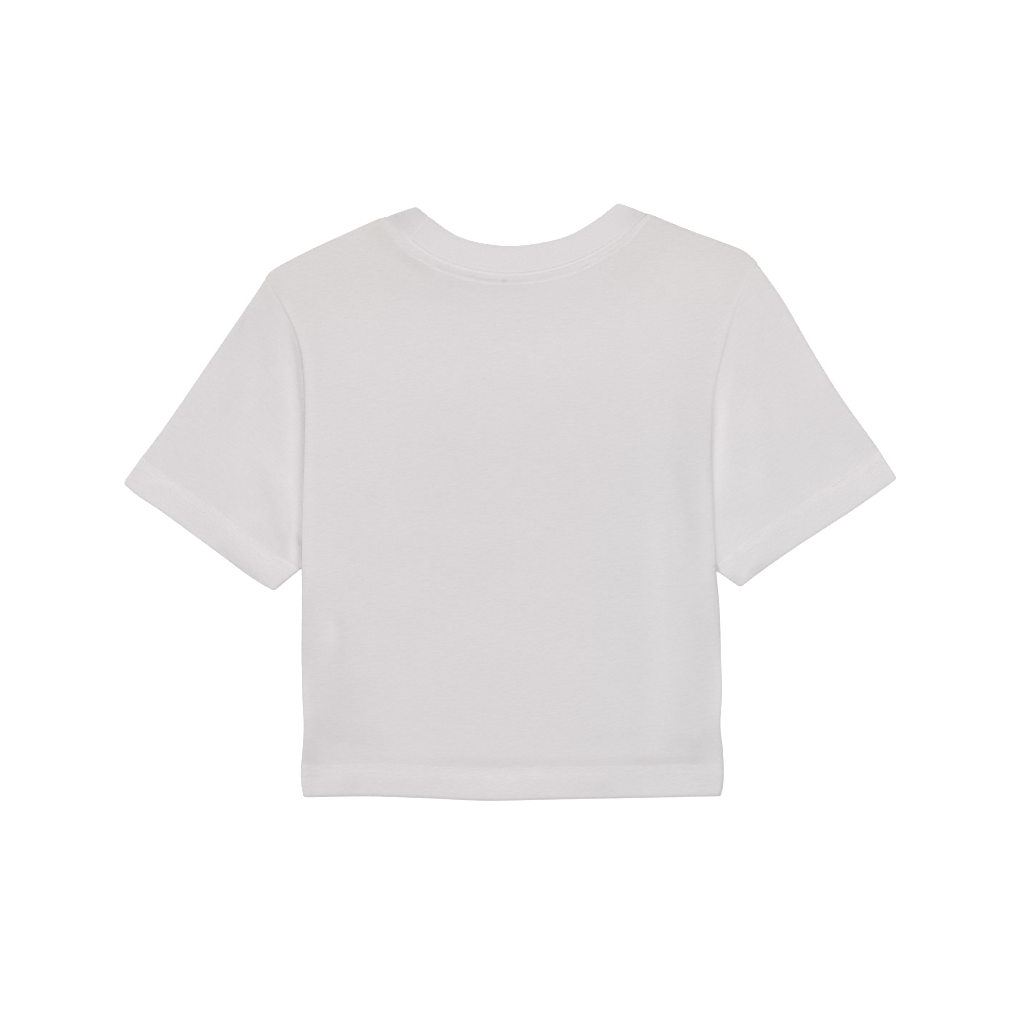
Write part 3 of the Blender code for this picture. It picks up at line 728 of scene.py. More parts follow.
class Nodes:
    """The nodes of one material, around its Principled shader."""

    def __init__(self, name: str) -> None:
        """Make the material and find its shader."""
        self.material = bpy.data.materials.new(name)
        self.material.use_nodes = True
        self.tree = self.material.node_tree
        self.shader = self.tree.nodes["Principled BSDF"]

    def add(
        self,
        kind: str,
        settings: dict[str, object] | None = None,
        sockets: dict[int | str, object] | None = None,
        output: int | str = 0,
    ) -> Value:
        """Add a node.

        Args:
            kind: The node's type.
            settings: Its settings, which are set before its sockets.
            sockets: Values or links of its input sockets, by place or name.
            output: The output socket that is wanted.

        Returns:
            The wanted output.
        """
        node = self.tree.nodes.new(kind)
        for name, setting in (settings or {}).items():
            setattr(node, name, setting)
        for place, given in (sockets or {}).items():
            self.feed(node.inputs[place], given)
        return Value(self, node.outputs[output])

    def feed(self, socket: bpy.types.NodeSocket, given: object) -> None:
        """Link a value to a socket, or set the socket's own number or vector."""
        if isinstance(given, Value):
            self.tree.links.new(given.socket, socket)
        else:
            socket.default_value = given

    def attribute(self, name: str) -> Value:
        """Return a piece's own attribute."""
        return self.add("ShaderNodeAttribute", {"attribute_name": name}, output="Fac")

    def parts(self, vector: Value) -> tuple[Value, Value]:
        """Return a vector's first two parts."""
        first, second = (self.add("ShaderNodeSeparateXYZ", None, {0: vector}, part) for part in (0, 1))
        return first, second

    def cloth(self) -> tuple[Value, Value]:
        """Return the places across and along the knit, in metres, from the cloth's UV map."""
        return self.parts(self.add("ShaderNodeUVMap", {"uv_map": "cloth"}))

    def grain(self, across: Value, along: Value, pitch: Point, detail: float = 0.0) -> Value:
        """Return noise from -0.5 to 0.5 whose spots have their own pitch along each direction."""
        place = self.add("ShaderNodeCombineXYZ", None, {0: across * (1 / pitch[0]), 1: along * (1 / pitch[1])})
        return self.add("ShaderNodeTexNoise", None, {"Vector": place, "Scale": 1.0, "Detail": detail}) - 0.5

    def multiplied(self, colour: Paint, other: Paint, share: Value | float = 1.0) -> Value:
        """Return the colour times this: 1, plus the share of the other colour's difference from 1.

        Args:
            colour: The colour that is changed.
            other: What it is multiplied by where the share is 1.
            share: How far it is changed. Where that is negative, it changes the other way.

        Returns:
            The changed colour.
        """
        settings = {"data_type": "RGBA", "blend_type": "MULTIPLY", "clamp_result": False, "clamp_factor": False}
        return self.add("ShaderNodeMix", settings, {"Factor": share, 6: colour, 7: other}, output=2)

    def scaled(self, colour: Paint, amount: Value) -> Value:
        """Return the colour made lighter or darker by an amount around 1."""
        grey = self.add("ShaderNodeCombineColor", None, dict.fromkeys(range(3), amount))
        return self.multiplied(colour, grey)

    def dress(self, colour: Value, roughness: float, relief: Value) -> bpy.types.Material:
        """Finish the material.

        Args:
            colour: The base colour.
            roughness: The shader's roughness.
            relief: The surface's fine height, in metres.

        Returns:
            The material.
        """
        bump = self.add("ShaderNodeBump", None, {"Height": relief, "Distance": 1.0, "Strength": 1.0})
        self.set_shader({
            "Base Color": colour,
            "Normal": bump,
            "Roughness": roughness,
            "Specular IOR Level": 0.2,
            "Sheen Weight": 0.05,
            "Sheen Roughness": 0.6,
        })
        return self.material

    def set_shader(self, sockets: dict[str, object]) -> None:
        """Link or set some of the shader's sockets, by name."""
        for name, given in sockets.items():
            self.feed(self.shader.inputs[name], given)


@dataclass(frozen=True)
class KnitFinish:
    """Single jersey: fine loops in wales, slubs along the courses, and soft cloudiness.

    The attributes hem and tape are distances from the hem's edge and from the tape's stitch row, and draw what
    lies along those lines. tone is how much lighter the cloth lies: where more plies back it, and painted light
    and shade along creases, edges, grooves and hollows. warm is how far it has yellowed and cool how far it has
    greyed. A field whose name ends in tone, shade or highlight is how much it lightens; shades and highlights
    are painted.
    """

    name: str
    colour: tuple[float, float, float] = (0.6865, 0.6615, 0.6730)
    warm_tint: tuple[float, float, float] = (0.987, 0.974, 0.916)
    cool_tint: tuple[float, float, float] = (0.997, 1.002, 1.002)
    roughness: float = 0.92

    loop_pitch: Point = (0.0010, 0.0008)
    loop_depth: float = 0.00002
    slub_pitch: Point = (0.0046, 0.0010)
    slub_depth: float = 0.00007
    slub_tone: float = 0.090
    streak_pitch: Point = (0.0130, 0.0013)
    streak_tone: float = 0.075
    grain_pitch: Point = (0.0011, 0.0011)
    grain_tone: float = 0.095
    turned_up_grain_tone: float = 0.040
    cloud_pitch: Point = (0.060, 0.030)
    cloud_tone: float = 0.030

    turned_up: Point = (0.0270, 0.0240)
    row_half_width: float = 0.0006
    row_depth: float = 0.00004
    row_tone: float = 0.050
    # Needle holes: painted shade.
    hole_half_width: float = 0.0003
    hole_shade: float = -0.020
    # Ridge over the turn-up's raw edge: a bump and a painted highlight.
    ridge_height: float = 0.00008
    ridge_highlight: float = 0.020
    # Along the hem's fold: painted shade.
    fold_place: float = 0.0009
    fold_half_width: float = 0.0010
    fold_shade: float = -0.06
    # Along the tape's stitch row: a painted highlight of the row's ridge.
    tape_place: float = 0.00010
    tape_half_width: float = 0.0005
    tape_row_highlight: float = 0.095

    def material(self) -> bpy.types.Material:
        """Return the finish's material.

        The height is the slubs, the loops (a product of a sine across and one along), a shallow groove along
        each stitch row of a hem and a ridge at the edge of a turn-up. The colour follows the slubs, streaks,
        grain, which is stronger on a turn-up, clouds and tone. It is lighter along a hem's rows, with a painted
        highlight on the turn-up's ridge and along the tape's row, and darker with painted shade in a hem's
        needle holes and along its fold.
        """
        nodes = Nodes(self.name)
        across, along = nodes.cloth()
        slubs = nodes.grain(across, along, self.slub_pitch, 1.0)
        streaks = nodes.grain(across, along, self.streak_pitch, 1.0)
        grain = nodes.grain(across, along, self.grain_pitch)
        clouds = nodes.grain(across, along, self.cloud_pitch, 2.0)
        loops = across.wave(self.loop_pitch[0]) * along.wave(self.loop_pitch[1])

        hem = nodes.attribute("hem")
        first, second = HEM_ROWS
        rows = hem.bell(first, self.row_half_width) + hem.bell(second, self.row_half_width)
        holes = hem.bell(first, self.hole_half_width) + hem.bell(second, self.hole_half_width)
        ridge = hem.bell(HEM_RIDGE, self.row_half_width)
        fold = hem.bell(self.fold_place, self.fold_half_width)
        grain_tone = hem.rise(*self.turned_up) * self.turned_up_grain_tone + self.grain_tone
        tape_row = nodes.attribute("tape").bell(self.tape_place, self.tape_half_width)
        relief = (
            slubs * (2 * self.slub_depth)
            + loops * self.loop_depth
            - rows * self.row_depth
            + ridge * self.ridge_height
        )
        # Painted shade in the needle holes and along the fold, painted highlights on the ridge and the tape's
        # row, and painted light and shade in tone.
        light = (
            1.0
            + slubs * self.slub_tone
            + streaks * self.streak_tone
            + grain * grain_tone
            + clouds * self.cloud_tone
            + nodes.attribute("tone")
            + rows * self.row_tone
            + ridge * self.ridge_highlight
            + tape_row * self.tape_row_highlight
            + holes * self.hole_shade
            + fold * self.fold_shade
        )
        colour = nodes.multiplied((*self.colour, 1.0), (*self.warm_tint, 1.0), nodes.attribute("warm"))
        colour = nodes.multiplied(colour, (*self.cool_tint, 1.0), nodes.attribute("cool"))
        return nodes.dress(nodes.scaled(colour, light), self.roughness, relief)


@dataclass(frozen=True)
class RibFinish:
    """1x1 rib: upright ribs across the band, a stitched row above the seam and the ring's own join.

    The attributes seam, stitched and join are distances from the seam, from the seam where its row shows, and
    from the join. A field whose name ends in tone, shade, shading or highlight is how much it lightens; the
    shades, the shading, the highlights and row_tone are painted.
    """

    name: str
    colour: tuple[float, float, float] = (0.7166, 0.6868, 0.7007)
    roughness: float = 0.90
    rib_pitch: float = 0.0013
    rib_depth: float = 0.00003
    # The ribs' colour: painted light and shade on their crests and hollows.
    rib_shading: float = 0.004
    grain_pitch: Point = (0.0018, 0.0013)
    grain_depth: float = 0.00007
    grain_tone: float = 0.155

    # Along the stitched row and in its needle holes: painted shade.
    row_half_width: float = 0.0005
    row_depth: float = 0.00006
    row_tone: float = -0.035
    hole_half_width: float = 0.00025
    hole_shade: float = -0.100
    # The ridge and the swell: painted highlights.
    ridge_place: float = 0.0013
    ridge_half_width: float = 0.0009
    ridge_height: float = 0.00012
    ridge_highlight: float = 0.050
    swell_place: float = 0.0043
    swell_half_width: float = 0.0007
    swell_highlight: float = 0.024
    join_half_width: float = 0.0005
    join_height: float = 0.00008
    join_tone: float = 0.055

    def material(self) -> bpy.types.Material:
        """Return the finish's material.

        The height is a sine along the strip, one rib for each pitch, and the grain, less a groove under the
        stitched row, plus a ridge between that row and the seam and a fine line at the join. The colour follows
        the grain, and the ribs as painted light and shade. It is lighter at the join, with painted highlights
        on the ridge and on the swell above the row, and darker with painted shade along the row and in its
        needle holes.
        """
        nodes = Nodes(self.name)
        across, along = nodes.cloth()
        grain = nodes.grain(across, along, self.grain_pitch, 1.0)
        ribs = across.wave(self.rib_pitch)
        seam = nodes.attribute("seam")
        stitched = nodes.attribute("stitched")
        ridge = seam.bell(self.ridge_place, self.ridge_half_width)
        swell = seam.bell(self.swell_place, self.swell_half_width)
        row = stitched.bell(RIB_ROW, self.row_half_width)
        holes = stitched.bell(RIB_ROW, self.hole_half_width)
        join = nodes.attribute("join").bell(0.0, self.join_half_width)
        relief = (
            ribs * self.rib_depth
            + grain * self.grain_depth
            - row * self.row_depth
            + ridge * self.ridge_height
            + join * self.join_height
        )
        # Painted light and shade: the ribs, the ridge, the swell, the row and its holes.
        light = (
            1.0
            + grain * self.grain_tone
            + ribs * self.rib_shading
            + nodes.attribute("tone")
            + ridge * self.ridge_highlight
            + swell * self.swell_highlight
            + join * self.join_tone
            + row * self.row_tone
            + holes * self.hole_shade
        )
        return nodes.dress(nodes.scaled((*self.colour, 1.0), light), self.roughness, relief)


@dataclass(frozen=True)
class ThreadFinish:
    """Matt sewing thread with a fine twist."""

    name: str
    colour: tuple[float, float, float] = (0.765, 0.737, 0.751)
    twist_pitch: float = 0.0006
    twist_depth: float = 0.00001
    fuzz_pitch: Point = (0.0008, 0.0008)
    fuzz_tone: float = 0.06
    roughness: float = 0.80

    def material(self) -> bpy.types.Material:
        """Return the finish's material: slanted grooves at the twist's pitch, and noise in the colour."""
        nodes = Nodes(self.name)
        x, y = nodes.parts(nodes.add("ShaderNodeTexCoord", output="Object"))
        twist = (x + y).wave(self.twist_pitch)
        fuzz = nodes.grain(x, y, self.fuzz_pitch, 1.0)
        colour = nodes.scaled((*self.colour, 1.0), 1.0 + fuzz * self.fuzz_tone)
        return nodes.dress(colour, self.roughness, twist * self.twist_depth)


@dataclass(frozen=True)
class FloorFinish:
    """A plain, pale studio floor."""

    name: str = "studio_floor"
    colour: tuple[float, float, float] = (0.90, 0.90, 0.90)
    roughness: float = 0.9
    glow: float = 0.35

    def material(self) -> bpy.types.Material:
        """Return the finish's material, which glows a little, as a lit table does."""
        nodes = Nodes(self.name)
        nodes.set_shader({
            "Base Color": (*self.colour, 1.0),
            "Roughness": self.roughness,
            "Specular IOR Level": 0.0,
            "Emission Color": (1.0, 1.0, 1.0, 1.0),
            "Emission Strength": self.glow,
        })
        return nodes.material


def grid_faces(rows: int, columns: int, ring: bool) -> Numbers:
    """Return the corner numbers of a grid's four-sided faces.

    Each face takes its vertex, the next one in the row, and the same two in the next row. In a ring the last
    column's faces go back to the first column.

    Args:
        rows: How many rows of vertices there are.
        columns: How many vertices a row has.
        ring: Whether each row is closed.

    Returns:
        An array with four vertex numbers for each face.
    """
    row = np.arange(rows - 1)[:, None] * columns
    column = np.arange(columns if ring else columns - 1)[None, :]
    after = (column + 1) % columns
    corners = (row + column, row + after, row + columns + after, row + columns + column)
    return np.stack(corners, axis=-1).reshape(-1, 4)


def link(name: str, content: bpy.types.ID) -> bpy.types.Object:
    """Return a new object of the scene, with the given mesh, light or camera."""
    made = bpy.data.objects.new(name, content)
    bpy.context.scene.collection.objects.link(made)
    return made


def mesh_piece(
    name: str,
    places: Places,
    faces: Numbers,
    finish: bpy.types.Material,
    more_faces: Sequence[Sequence[int]] = (),
) -> bpy.types.Object:
    """Make a piece with a smooth mesh.

    Args:
        name: The piece's name.
        places: Its vertices.
        faces: The vertex numbers of its faces.
        finish: Its material.
        more_faces: Faces with another count of corners.

    Returns:
        The piece's object.
    """
    mesh = bpy.data.meshes.new(name)
    mesh.from_pydata(places.reshape(-1, 3).tolist(), [], faces.tolist() + list(more_faces))
    mesh.validate()
    mesh.shade_smooth()
    mesh.materials.append(finish)
    return link(name, mesh)


@dataclass
class Cloth:
    """A piece of cloth on a grid: its mid-surface, its UV map in metres, and what its finish reads."""

    name: str
    nodes: tuple[str, ...]
    slot: Slot
    grid: Places
    uv: Places
    attributes: dict[str, Numbers | float]
    ring: bool = False

    def build(self, finish: bpy.types.Material) -> bpy.types.Object:
        """Make the piece, let it ride on the frame and stand for its solids.

        The grid's rims are sharp edges, so that the wall's narrow faces don't bend the cloth's shading.

        Args:
            finish: The piece's material.

        Returns:
            The piece's object.
        """
        rows, columns = self.grid.shape[:2]
        faces = grid_faces(rows, columns, self.ring)
        piece = mesh_piece(self.name, self.grid, faces, finish)
        mesh = piece.data
        layer = mesh.uv_layers.new(name="cloth")
        corners = np.empty(len(mesh.loops), np.int32)
        mesh.loops.foreach_get("vertex_index", corners)
        layer.uv.foreach_set("vector", self.uv.reshape(-1, 2)[corners].astype(np.float32).ravel())
        for name, values in self.attributes.items():
            held = mesh.attributes.new(name, "FLOAT", "POINT")
            held.data.foreach_set("value", np.broadcast_to(values, (rows, columns)).astype(np.float32).ravel())
        ends = np.empty(len(mesh.edges) * 2, np.int32)
        mesh.edges.foreach_get("vertices", ends)
        row, column = np.divmod(ends.reshape(-1, 2), columns)
        rim = (row == 0).all(axis=1) | (row == rows - 1).all(axis=1)
        if not self.ring:
            rim |= (column == 0).all(axis=1) | (column == columns - 1).all(axis=1)
        mesh.attributes.new("sharp_edge", "BOOLEAN", "EDGE").data.foreach_set("value", rim)

        wall = piece.modifiers.new("Cloth", "SOLIDIFY")
        wall.thickness = CLOTH
        wall.offset = 0.0
        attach(piece, BODY)
        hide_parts(*self.nodes)
        LOG.info("%s: %d faces of cloth", self.name, len(faces))
        return piece


def clear_of_seam(line: Places, side: int, gap: float) -> Places:
    """Return a seam line moved by the gap to its left (1) or its right (-1), square to its direction."""
    along = unit(np.gradient(line, axis=0))
    return line + side * gap * np.stack((-along[:, 1], along[:, 0]), axis=1)


def patch(bottom: Places, top: Places, left: Places, right: Places, column: Numbers, row: Numbers) -> Places:
    """Return a grid between four edges, as rows from bottom to top.

    Straight lines run from the bottom edge to the top one. The bulge of each side edge from its own straight
    line is added to them, times the sixth power of the nearness to that side.

    Args:
        bottom: The bottom edge's places, one for each column.
        top: The top edge's places.
        left: The left edge's places, one for each row.
        right: The right edge's places.
        column: Each column's share of the width.
        row: Each row's share of the height.

    Returns:
        The grid's places in plan.
    """
    across = column[None, :, None]
    up = row[:, None, None]
    plan = mixed(bottom[None], top[None], up)
    for line, nearby in ((left, 1 - across), (right, across)):
        plan = plan + nearby**6 * (line[:, None] - mixed(line[0], line[-1], up))
    return plan


def spread(stretches: Sequence[tuple[float, float, int]]) -> Numbers:
    """Return shares in stretches, each from its start up to its end in its own count of even steps."""
    return np.concatenate([np.linspace(start, end, count, endpoint=False) for start, end, count in stretches])


def rolled_shares(width: float, roll: float, roll_steps: int, steps: int) -> Numbers:
    """Return shares of a width that start close together.

    Over the roll they are 1 less the cosine of even angles, so that a rolled edge is round, and even after it.

    Args:
        width: The whole width.
        roll: How wide the rolled edge is.
        roll_steps: The count of steps over the roll.
        steps: The count of steps over the rest.

    Returns:
        The shares, from 0 to 1.
    """
    angles = np.linspace(0.0, np.pi / 2, roll_steps + 1)[:-1]
    edge = roll / width * (1 - np.cos(angles))
    return np.concatenate((edge, np.linspace(roll / width, 1.0, steps + 1)))


def polyline_at(points: Places, shares: Numbers) -> Places:
    """Return the places at shares of a polyline's length."""
    travelled = np.concatenate(([0.0], np.cumsum(np.linalg.norm(np.diff(points, axis=0), axis=1))))
    wanted = shares * travelled[-1]
    return np.stack([np.interp(wanted, travelled, points[:, axis]) for axis in range(2)], axis=-1)


@dataclass
class Panel:
    """A body panel: one sheet from its turn-up's raw edge, round the hem and up to the shoulders and neck.

    Its columns are closer together near the sides, and its rows near the hem and the neck. The outermost
    shoulder_share of the columns, on either side, goes to the shoulder, and the rest to the neckline.
    """

    roll: float = 0.008
    roll_steps: int = 7
    shoulder_share: float = 0.2
    shoulder_width: float = 0.067
    shoulder_steps: int = 22
    neck_steps: int = 96
    foot_share: float = 0.025
    foot_steps: int = 13
    body_steps: int = 150
    top_share: float = 0.0785
    top_height: float = 0.030
    top_roll: float = 0.006
    top_steps: int = 38

    inner_steps: int = 7
    turn_steps: int = 6
    outer_steps: int = 32
    turn_up_inset: float = 0.0022

    shoulder_warmth: Amounts = ((0.34, 0.030), (0.20, 0.095))
    neck_warmth: Amounts = ((0.50, 0.016), (0.15, 0.016))
    # Painted shade at the free edges, where the cloth rolls away, and at the hem's folded edge; turn_up_tone
    # and row_tone lighten the hem.
    edge_shades: Amounts = ((-0.020, 0.003), (-0.05, 0.0008))
    turn_up_tone: float = 0.004
    row_tone: float = 0.014
    fold_shade: float = -0.05
    hem_edge_shade: float = -0.020

    neck: Curve = field(init=False)

    def columns(self) -> tuple[Numbers, Numbers]:
        """Return each column's share of the width, and the shares along a shoulder of its own columns."""
        side = rolled_shares(self.shoulder_width, self.roll, self.roll_steps, self.shoulder_steps)
        share = self.shoulder_share
        middle = np.linspace(share, 1 - share, self.neck_steps + 1)
        return np.concatenate((side[:-1] * share, middle, 1 - side[::-1][1:] * share)), side

    def rows(self) -> Numbers:
        """Return each row's share of the height above the hem band."""
        rolled = rolled_shares(self.top_height, self.top_roll, self.roll_steps, self.top_steps)[::-1]
        body_end = 1 - self.top_share
        below = spread(((0.0, self.foot_share, self.foot_steps), (self.foot_share, body_end, self.body_steps)))
        return np.concatenate((below, body_end + self.top_share * (1 - rolled)))

    def hem_row(self, reach: float, inset: float = 0.0) -> Places:
        """Return the plan of the row that lies at a reach above the hem's edge.

        The sides give where the row ends, less the inset, and the hem line gives its waver.

        Args:
            reach: The distance from the hem's edge.
            inset: How far the row's ends stay inside the sides.

        Returns:
            The row's places.
        """
        share = self.columns()[0]
        hem = CUT.curve(CUT.hem).points
        ends = []
        for side in Side:
            line = CUT.line(CUT.side, side).points
            ends.append(np.interp(line[0, 1] + reach, line[:, 1], line[:, 0]) - side.value * inset)
        x = mixed(ends[0], ends[1], share)
        y = np.interp(mixed(hem[0, 0], hem[-1, 0], share), hem[:, 0], hem[:, 1]) + reach
        return np.stack((x, y), axis=1)

    def plan(self) -> Places:
        """Return the panel's plan above its hem band."""
        column, shoulder_shares = self.columns()
        row = self.rows()
        bottom = self.hem_row(HEM_DEPTH)
        edges = []
        for side, corner in zip(Side, (bottom[0], bottom[-1])):
            line = CUT.line(CUT.side, side).points
            above = line[line[:, 1] > corner[1] + JUST_PAST]
            armhole = CUT.line(CUT.armhole, side).points
            edges.append(polyline_at(np.vstack((corner, above, armhole[1:])), row))
        shoulders = [CUT.line(CUT.shoulder, side).at(shoulder_shares) for side in Side]
        neck = self.neck.at(np.linspace(0.0, 1.0, self.neck_steps + 1))
        top = np.vstack((shoulders[0], neck[1:-1], shoulders[1][::-1]))
        return patch(bottom, top, edges[0], edges[1], column, row)

    def free_edge(self, places: Places) -> Numbers:
        """Return the distances to the nearest side seam or shoulder seam."""
        lines = [CUT.line(rows, side) for rows in (CUT.side, CUT.shoulder) for side in Side]
        return np.min([line.distance(places) for line in lines], axis=0)

    def surface(self, places: Places) -> Numbers:
        """Return the levels of the panel's outer ply."""
        raise NotImplementedError

    def folded(self, outer: float, inner: float) -> Places:
        """Return the whole mid-surface.

        The turn-up's inner ply comes first, then a half round whose radius is half the distance between the
        two plies, then the outer ply up the whole panel.

        Args:
            outer: The level of the outer ply at the hem.
            inner: The level of the turned-up ply.

        Returns:
            The grid of places.
        """
        radius = abs(outer - inner) / 2
        rows = []
        for reach in np.linspace(HEM_DEPTH - FOLD_CLEAR, HEM_DEPTH / 4, self.inner_steps):
            rows.append(with_level(self.hem_row(reach, self.turn_up_inset), inner))
        for angle in np.linspace(np.pi, 0.0, self.turn_steps + 1):
            back = (1 - np.cos(angle)) / 2
            plan = self.hem_row(CLOTH / 2 + radius * (1 - np.sin(angle)), self.turn_up_inset * back)
            rows.append(with_level(plan, mixed(self.surface(plan), inner, back)))
        for reach in np.linspace(radius + FOLD_CLEAR, HEM_DEPTH, self.outer_steps)[:-1]:
            plan = self.hem_row(reach)
            rows.append(with_level(plan, self.surface(plan)))
        plan = self.plan()
        return np.concatenate((np.array(rows), with_level(plan, self.surface(plan))))

    def lines(self, grid: Places) -> dict[str, Numbers]:
        """Return the distances that the knit finish reads, and how light and how yellowed the cloth is.

        The yellowing is strongest along the shoulders, by the neck seam's ends, and falls off downwards. The
        cloth is lighter over the hem, and darker with painted shade at its free edges and at its fold.

        Args:
            grid: The panel's mid-surface.

        Returns:
            Each attribute's values.
        """
        hem = CUT.curve(CUT.hem).measure(grid)[0]
        shoulder = np.min([CUT.line(CUT.shoulder, side).distance(grid) for side in Side], axis=0)
        warm = belled(shoulder, self.shoulder_warmth)
        for end, warmth in zip((0, -1), self.neck_warmth):
            warm = warm + belled(away_from(grid, self.neck.points[end]), (warmth,))
        # Painted shade at the free edges.
        tone = faded(self.free_edge(grid), self.edge_shades)
        tone = tone + self.turn_up_tone * nearness(hem, HEM_DEPTH, 0.0012)
        tone = tone + self.row_tone * nearness(np.abs(hem - 0.0225), 0.0025, 0.0015)
        # Painted shade along the hem's fold and its folded edge.
        tone = tone + self.fold_shade * bell(hem - 0.0009, 0.0012) + self.hem_edge_shade * bell(hem, 0.004)
        return {"hem": hem, "tape": np.full_like(hem, FAR), "tone": tone, "warm": warm, "cool": greyed(grid)}

    def sheet(self, name: str, grid: Places, uv: Places, lines: dict[str, Numbers]) -> Cloth:
        """Return the panel's cloth.

        Args:
            name: The node that it stands for.
            grid: Its mid-surface.
            uv: Its UV map, in metres.
            lines: What its finish reads.

        Returns:
            The cloth.
        """
        return Cloth(f"{name}_jersey", (name,), Slot.JERSEY, grid, uv, lines)


@dataclass
class BackPanel(Panel):
    """The back panel, which lies uppermost."""

    corner_roll: float = 0.0028
    armhole_roll: float = 0.0016
    armhole_drop: float = 0.0002
    underarm_reach: float = 0.006
    underarm_slope: float = 0.028
    slant: float = 0.13
    bend: float = 0.12
    tape_end: float = -0.083
    tape_light: float = 0.022

    def __post_init__(self) -> None:
        """Set the neckline."""
        self.neck = CUT.band(CUT.back_neck)[0]

    def surface(self, places: Places) -> Numbers:
        """Return the levels of the back's outer ply.

        It is the loft and the creases, mixed towards the top level over the hem's plies, the neck tape and the
        underarms. Part of that rise is a short step at the turn-up's and the tape's edges. The free edges roll
        down as a quarter round, and the armholes' edges by a little.

        Args:
            places: Places whose first two coordinates are their plan.

        Returns:
            The level at each place.
        """
        hem = CUT.curve(CUT.hem).distance(places)
        seam = self.neck.distance(places)
        tape = CUT.curve(CUT.tape_row).measure(places)[0]
        over_tape = 0.8 * nearness(seam, 0.013, 0.022) + 0.2 * smooth_step((tape + 0.0018) / 0.0022)
        raised = np.maximum(over_turn_up(hem, 0.45), over_tape)
        for side in Side:
            away = away_from(places, CUT.line(CUT.armhole, side).points[0])
            raised = np.maximum(raised, nearness(away, self.underarm_reach, self.underarm_slope))
        flat = LOFT_LEVEL + creased(places, BACK_CREASES)
        level = mixed(flat, TOP_LEVEL, raised)
        roll = mixed(self.roll, self.corner_roll, nearness(hem, *HEM_SLOPE))
        level = mixed(EDGE_LEVEL, level, quarter_round(self.free_edge(places), roll))
        arm = np.min([CUT.line(CUT.armhole, side).distance(places) for side in Side], axis=0)
        return level - self.armhole_drop * (1 - quarter_round(arm, self.armhole_roll))

    def build(self, finish: bpy.types.Material) -> bpy.types.Object:
        """Make the back panel, one sheet of its whole cut.

        Its knit lies a little aslant: v falls by the slant times x, and by the bend times the square of x. The
        tape shows through as a lighter, less yellowed band, and its stitch row ends before the left shoulder.

        Args:
            finish: The jersey's material.

        Returns:
            The panel's object.
        """
        grid = self.folded(TOP_LEVEL, BACK_TURN_UP_LEVEL)
        x = grid[..., 0]
        uv = np.stack((x, grid[..., 1] + 0.3 - self.slant * x - self.bend * x * x), axis=-1)
        lines = self.lines(grid)
        tape = CUT.curve(CUT.tape_row).measure(grid)[0]
        over_tape = smooth_step((tape + 0.0004) / 0.0008) * nearness(self.neck.distance(grid), 0.011, 0.002)
        by_armhole = bell(CUT.line(CUT.armhole, Side.RIGHT).distance(grid), 0.020)
        lines["tape"] = np.where(x < self.tape_end, FAR, tape)
        # The creases, the patches and the bands beside the armholes add painted light and shade.
        lines["tone"] += self.tape_light * over_tape + toned(grid, BACK_CREASES + BACK_PAINTED_SHADING)
        lines["tone"] += sum(seam_shaded(grid, side) for side in Side)
        lines["warm"] *= (1 - 0.8 * over_tape) * (1 - 0.5 * by_armhole)
        lines["warm"] += toned(grid, BACK_STAINS)
        lines["cool"] -= 1.6 * over_tape
        piece = self.sheet("back_panel", grid, uv, lines).build(finish)
        return piece


@dataclass
class FrontPanel(Panel):
    """The front panel, which lies on the resting surface."""

    edge_roll: float = 0.0016
    shoulder_steps: int = 16
    neck_steps: int = 64

    def __post_init__(self) -> None:
        """Set the neckline."""
        self.neck = CUT.band(CUT.front_neck)[0]

    def surface(self, places: Places) -> Numbers:
        """Return the levels of the front's outer ply: flat, with low creases, and raised at its free edges."""
        hem = CUT.curve(CUT.hem).distance(places)
        flat = FRONT_LEVEL + creased(places, FRONT_CREASES) * (1 - nearness(hem, 0.028, 0.015))
        return mixed(FRONT_EDGE_LEVEL, flat, quarter_round(self.free_edge(places), self.edge_roll))

    def build(self, finish: bpy.types.Material) -> bpy.types.Object:
        """Make the front panel, one sheet of its whole cut."""
        grid = self.folded(FRONT_LEVEL, FRONT_TURN_UP_LEVEL)
        uv = grid[..., :2] + np.array((0.0, 0.9))
        lines = self.lines(grid)
        lines["tape"] = self.neck.distance(grid) - FRONT_NECK_ROW
        piece = self.sheet("front_panel", grid, uv, lines).build(finish)
        return piece


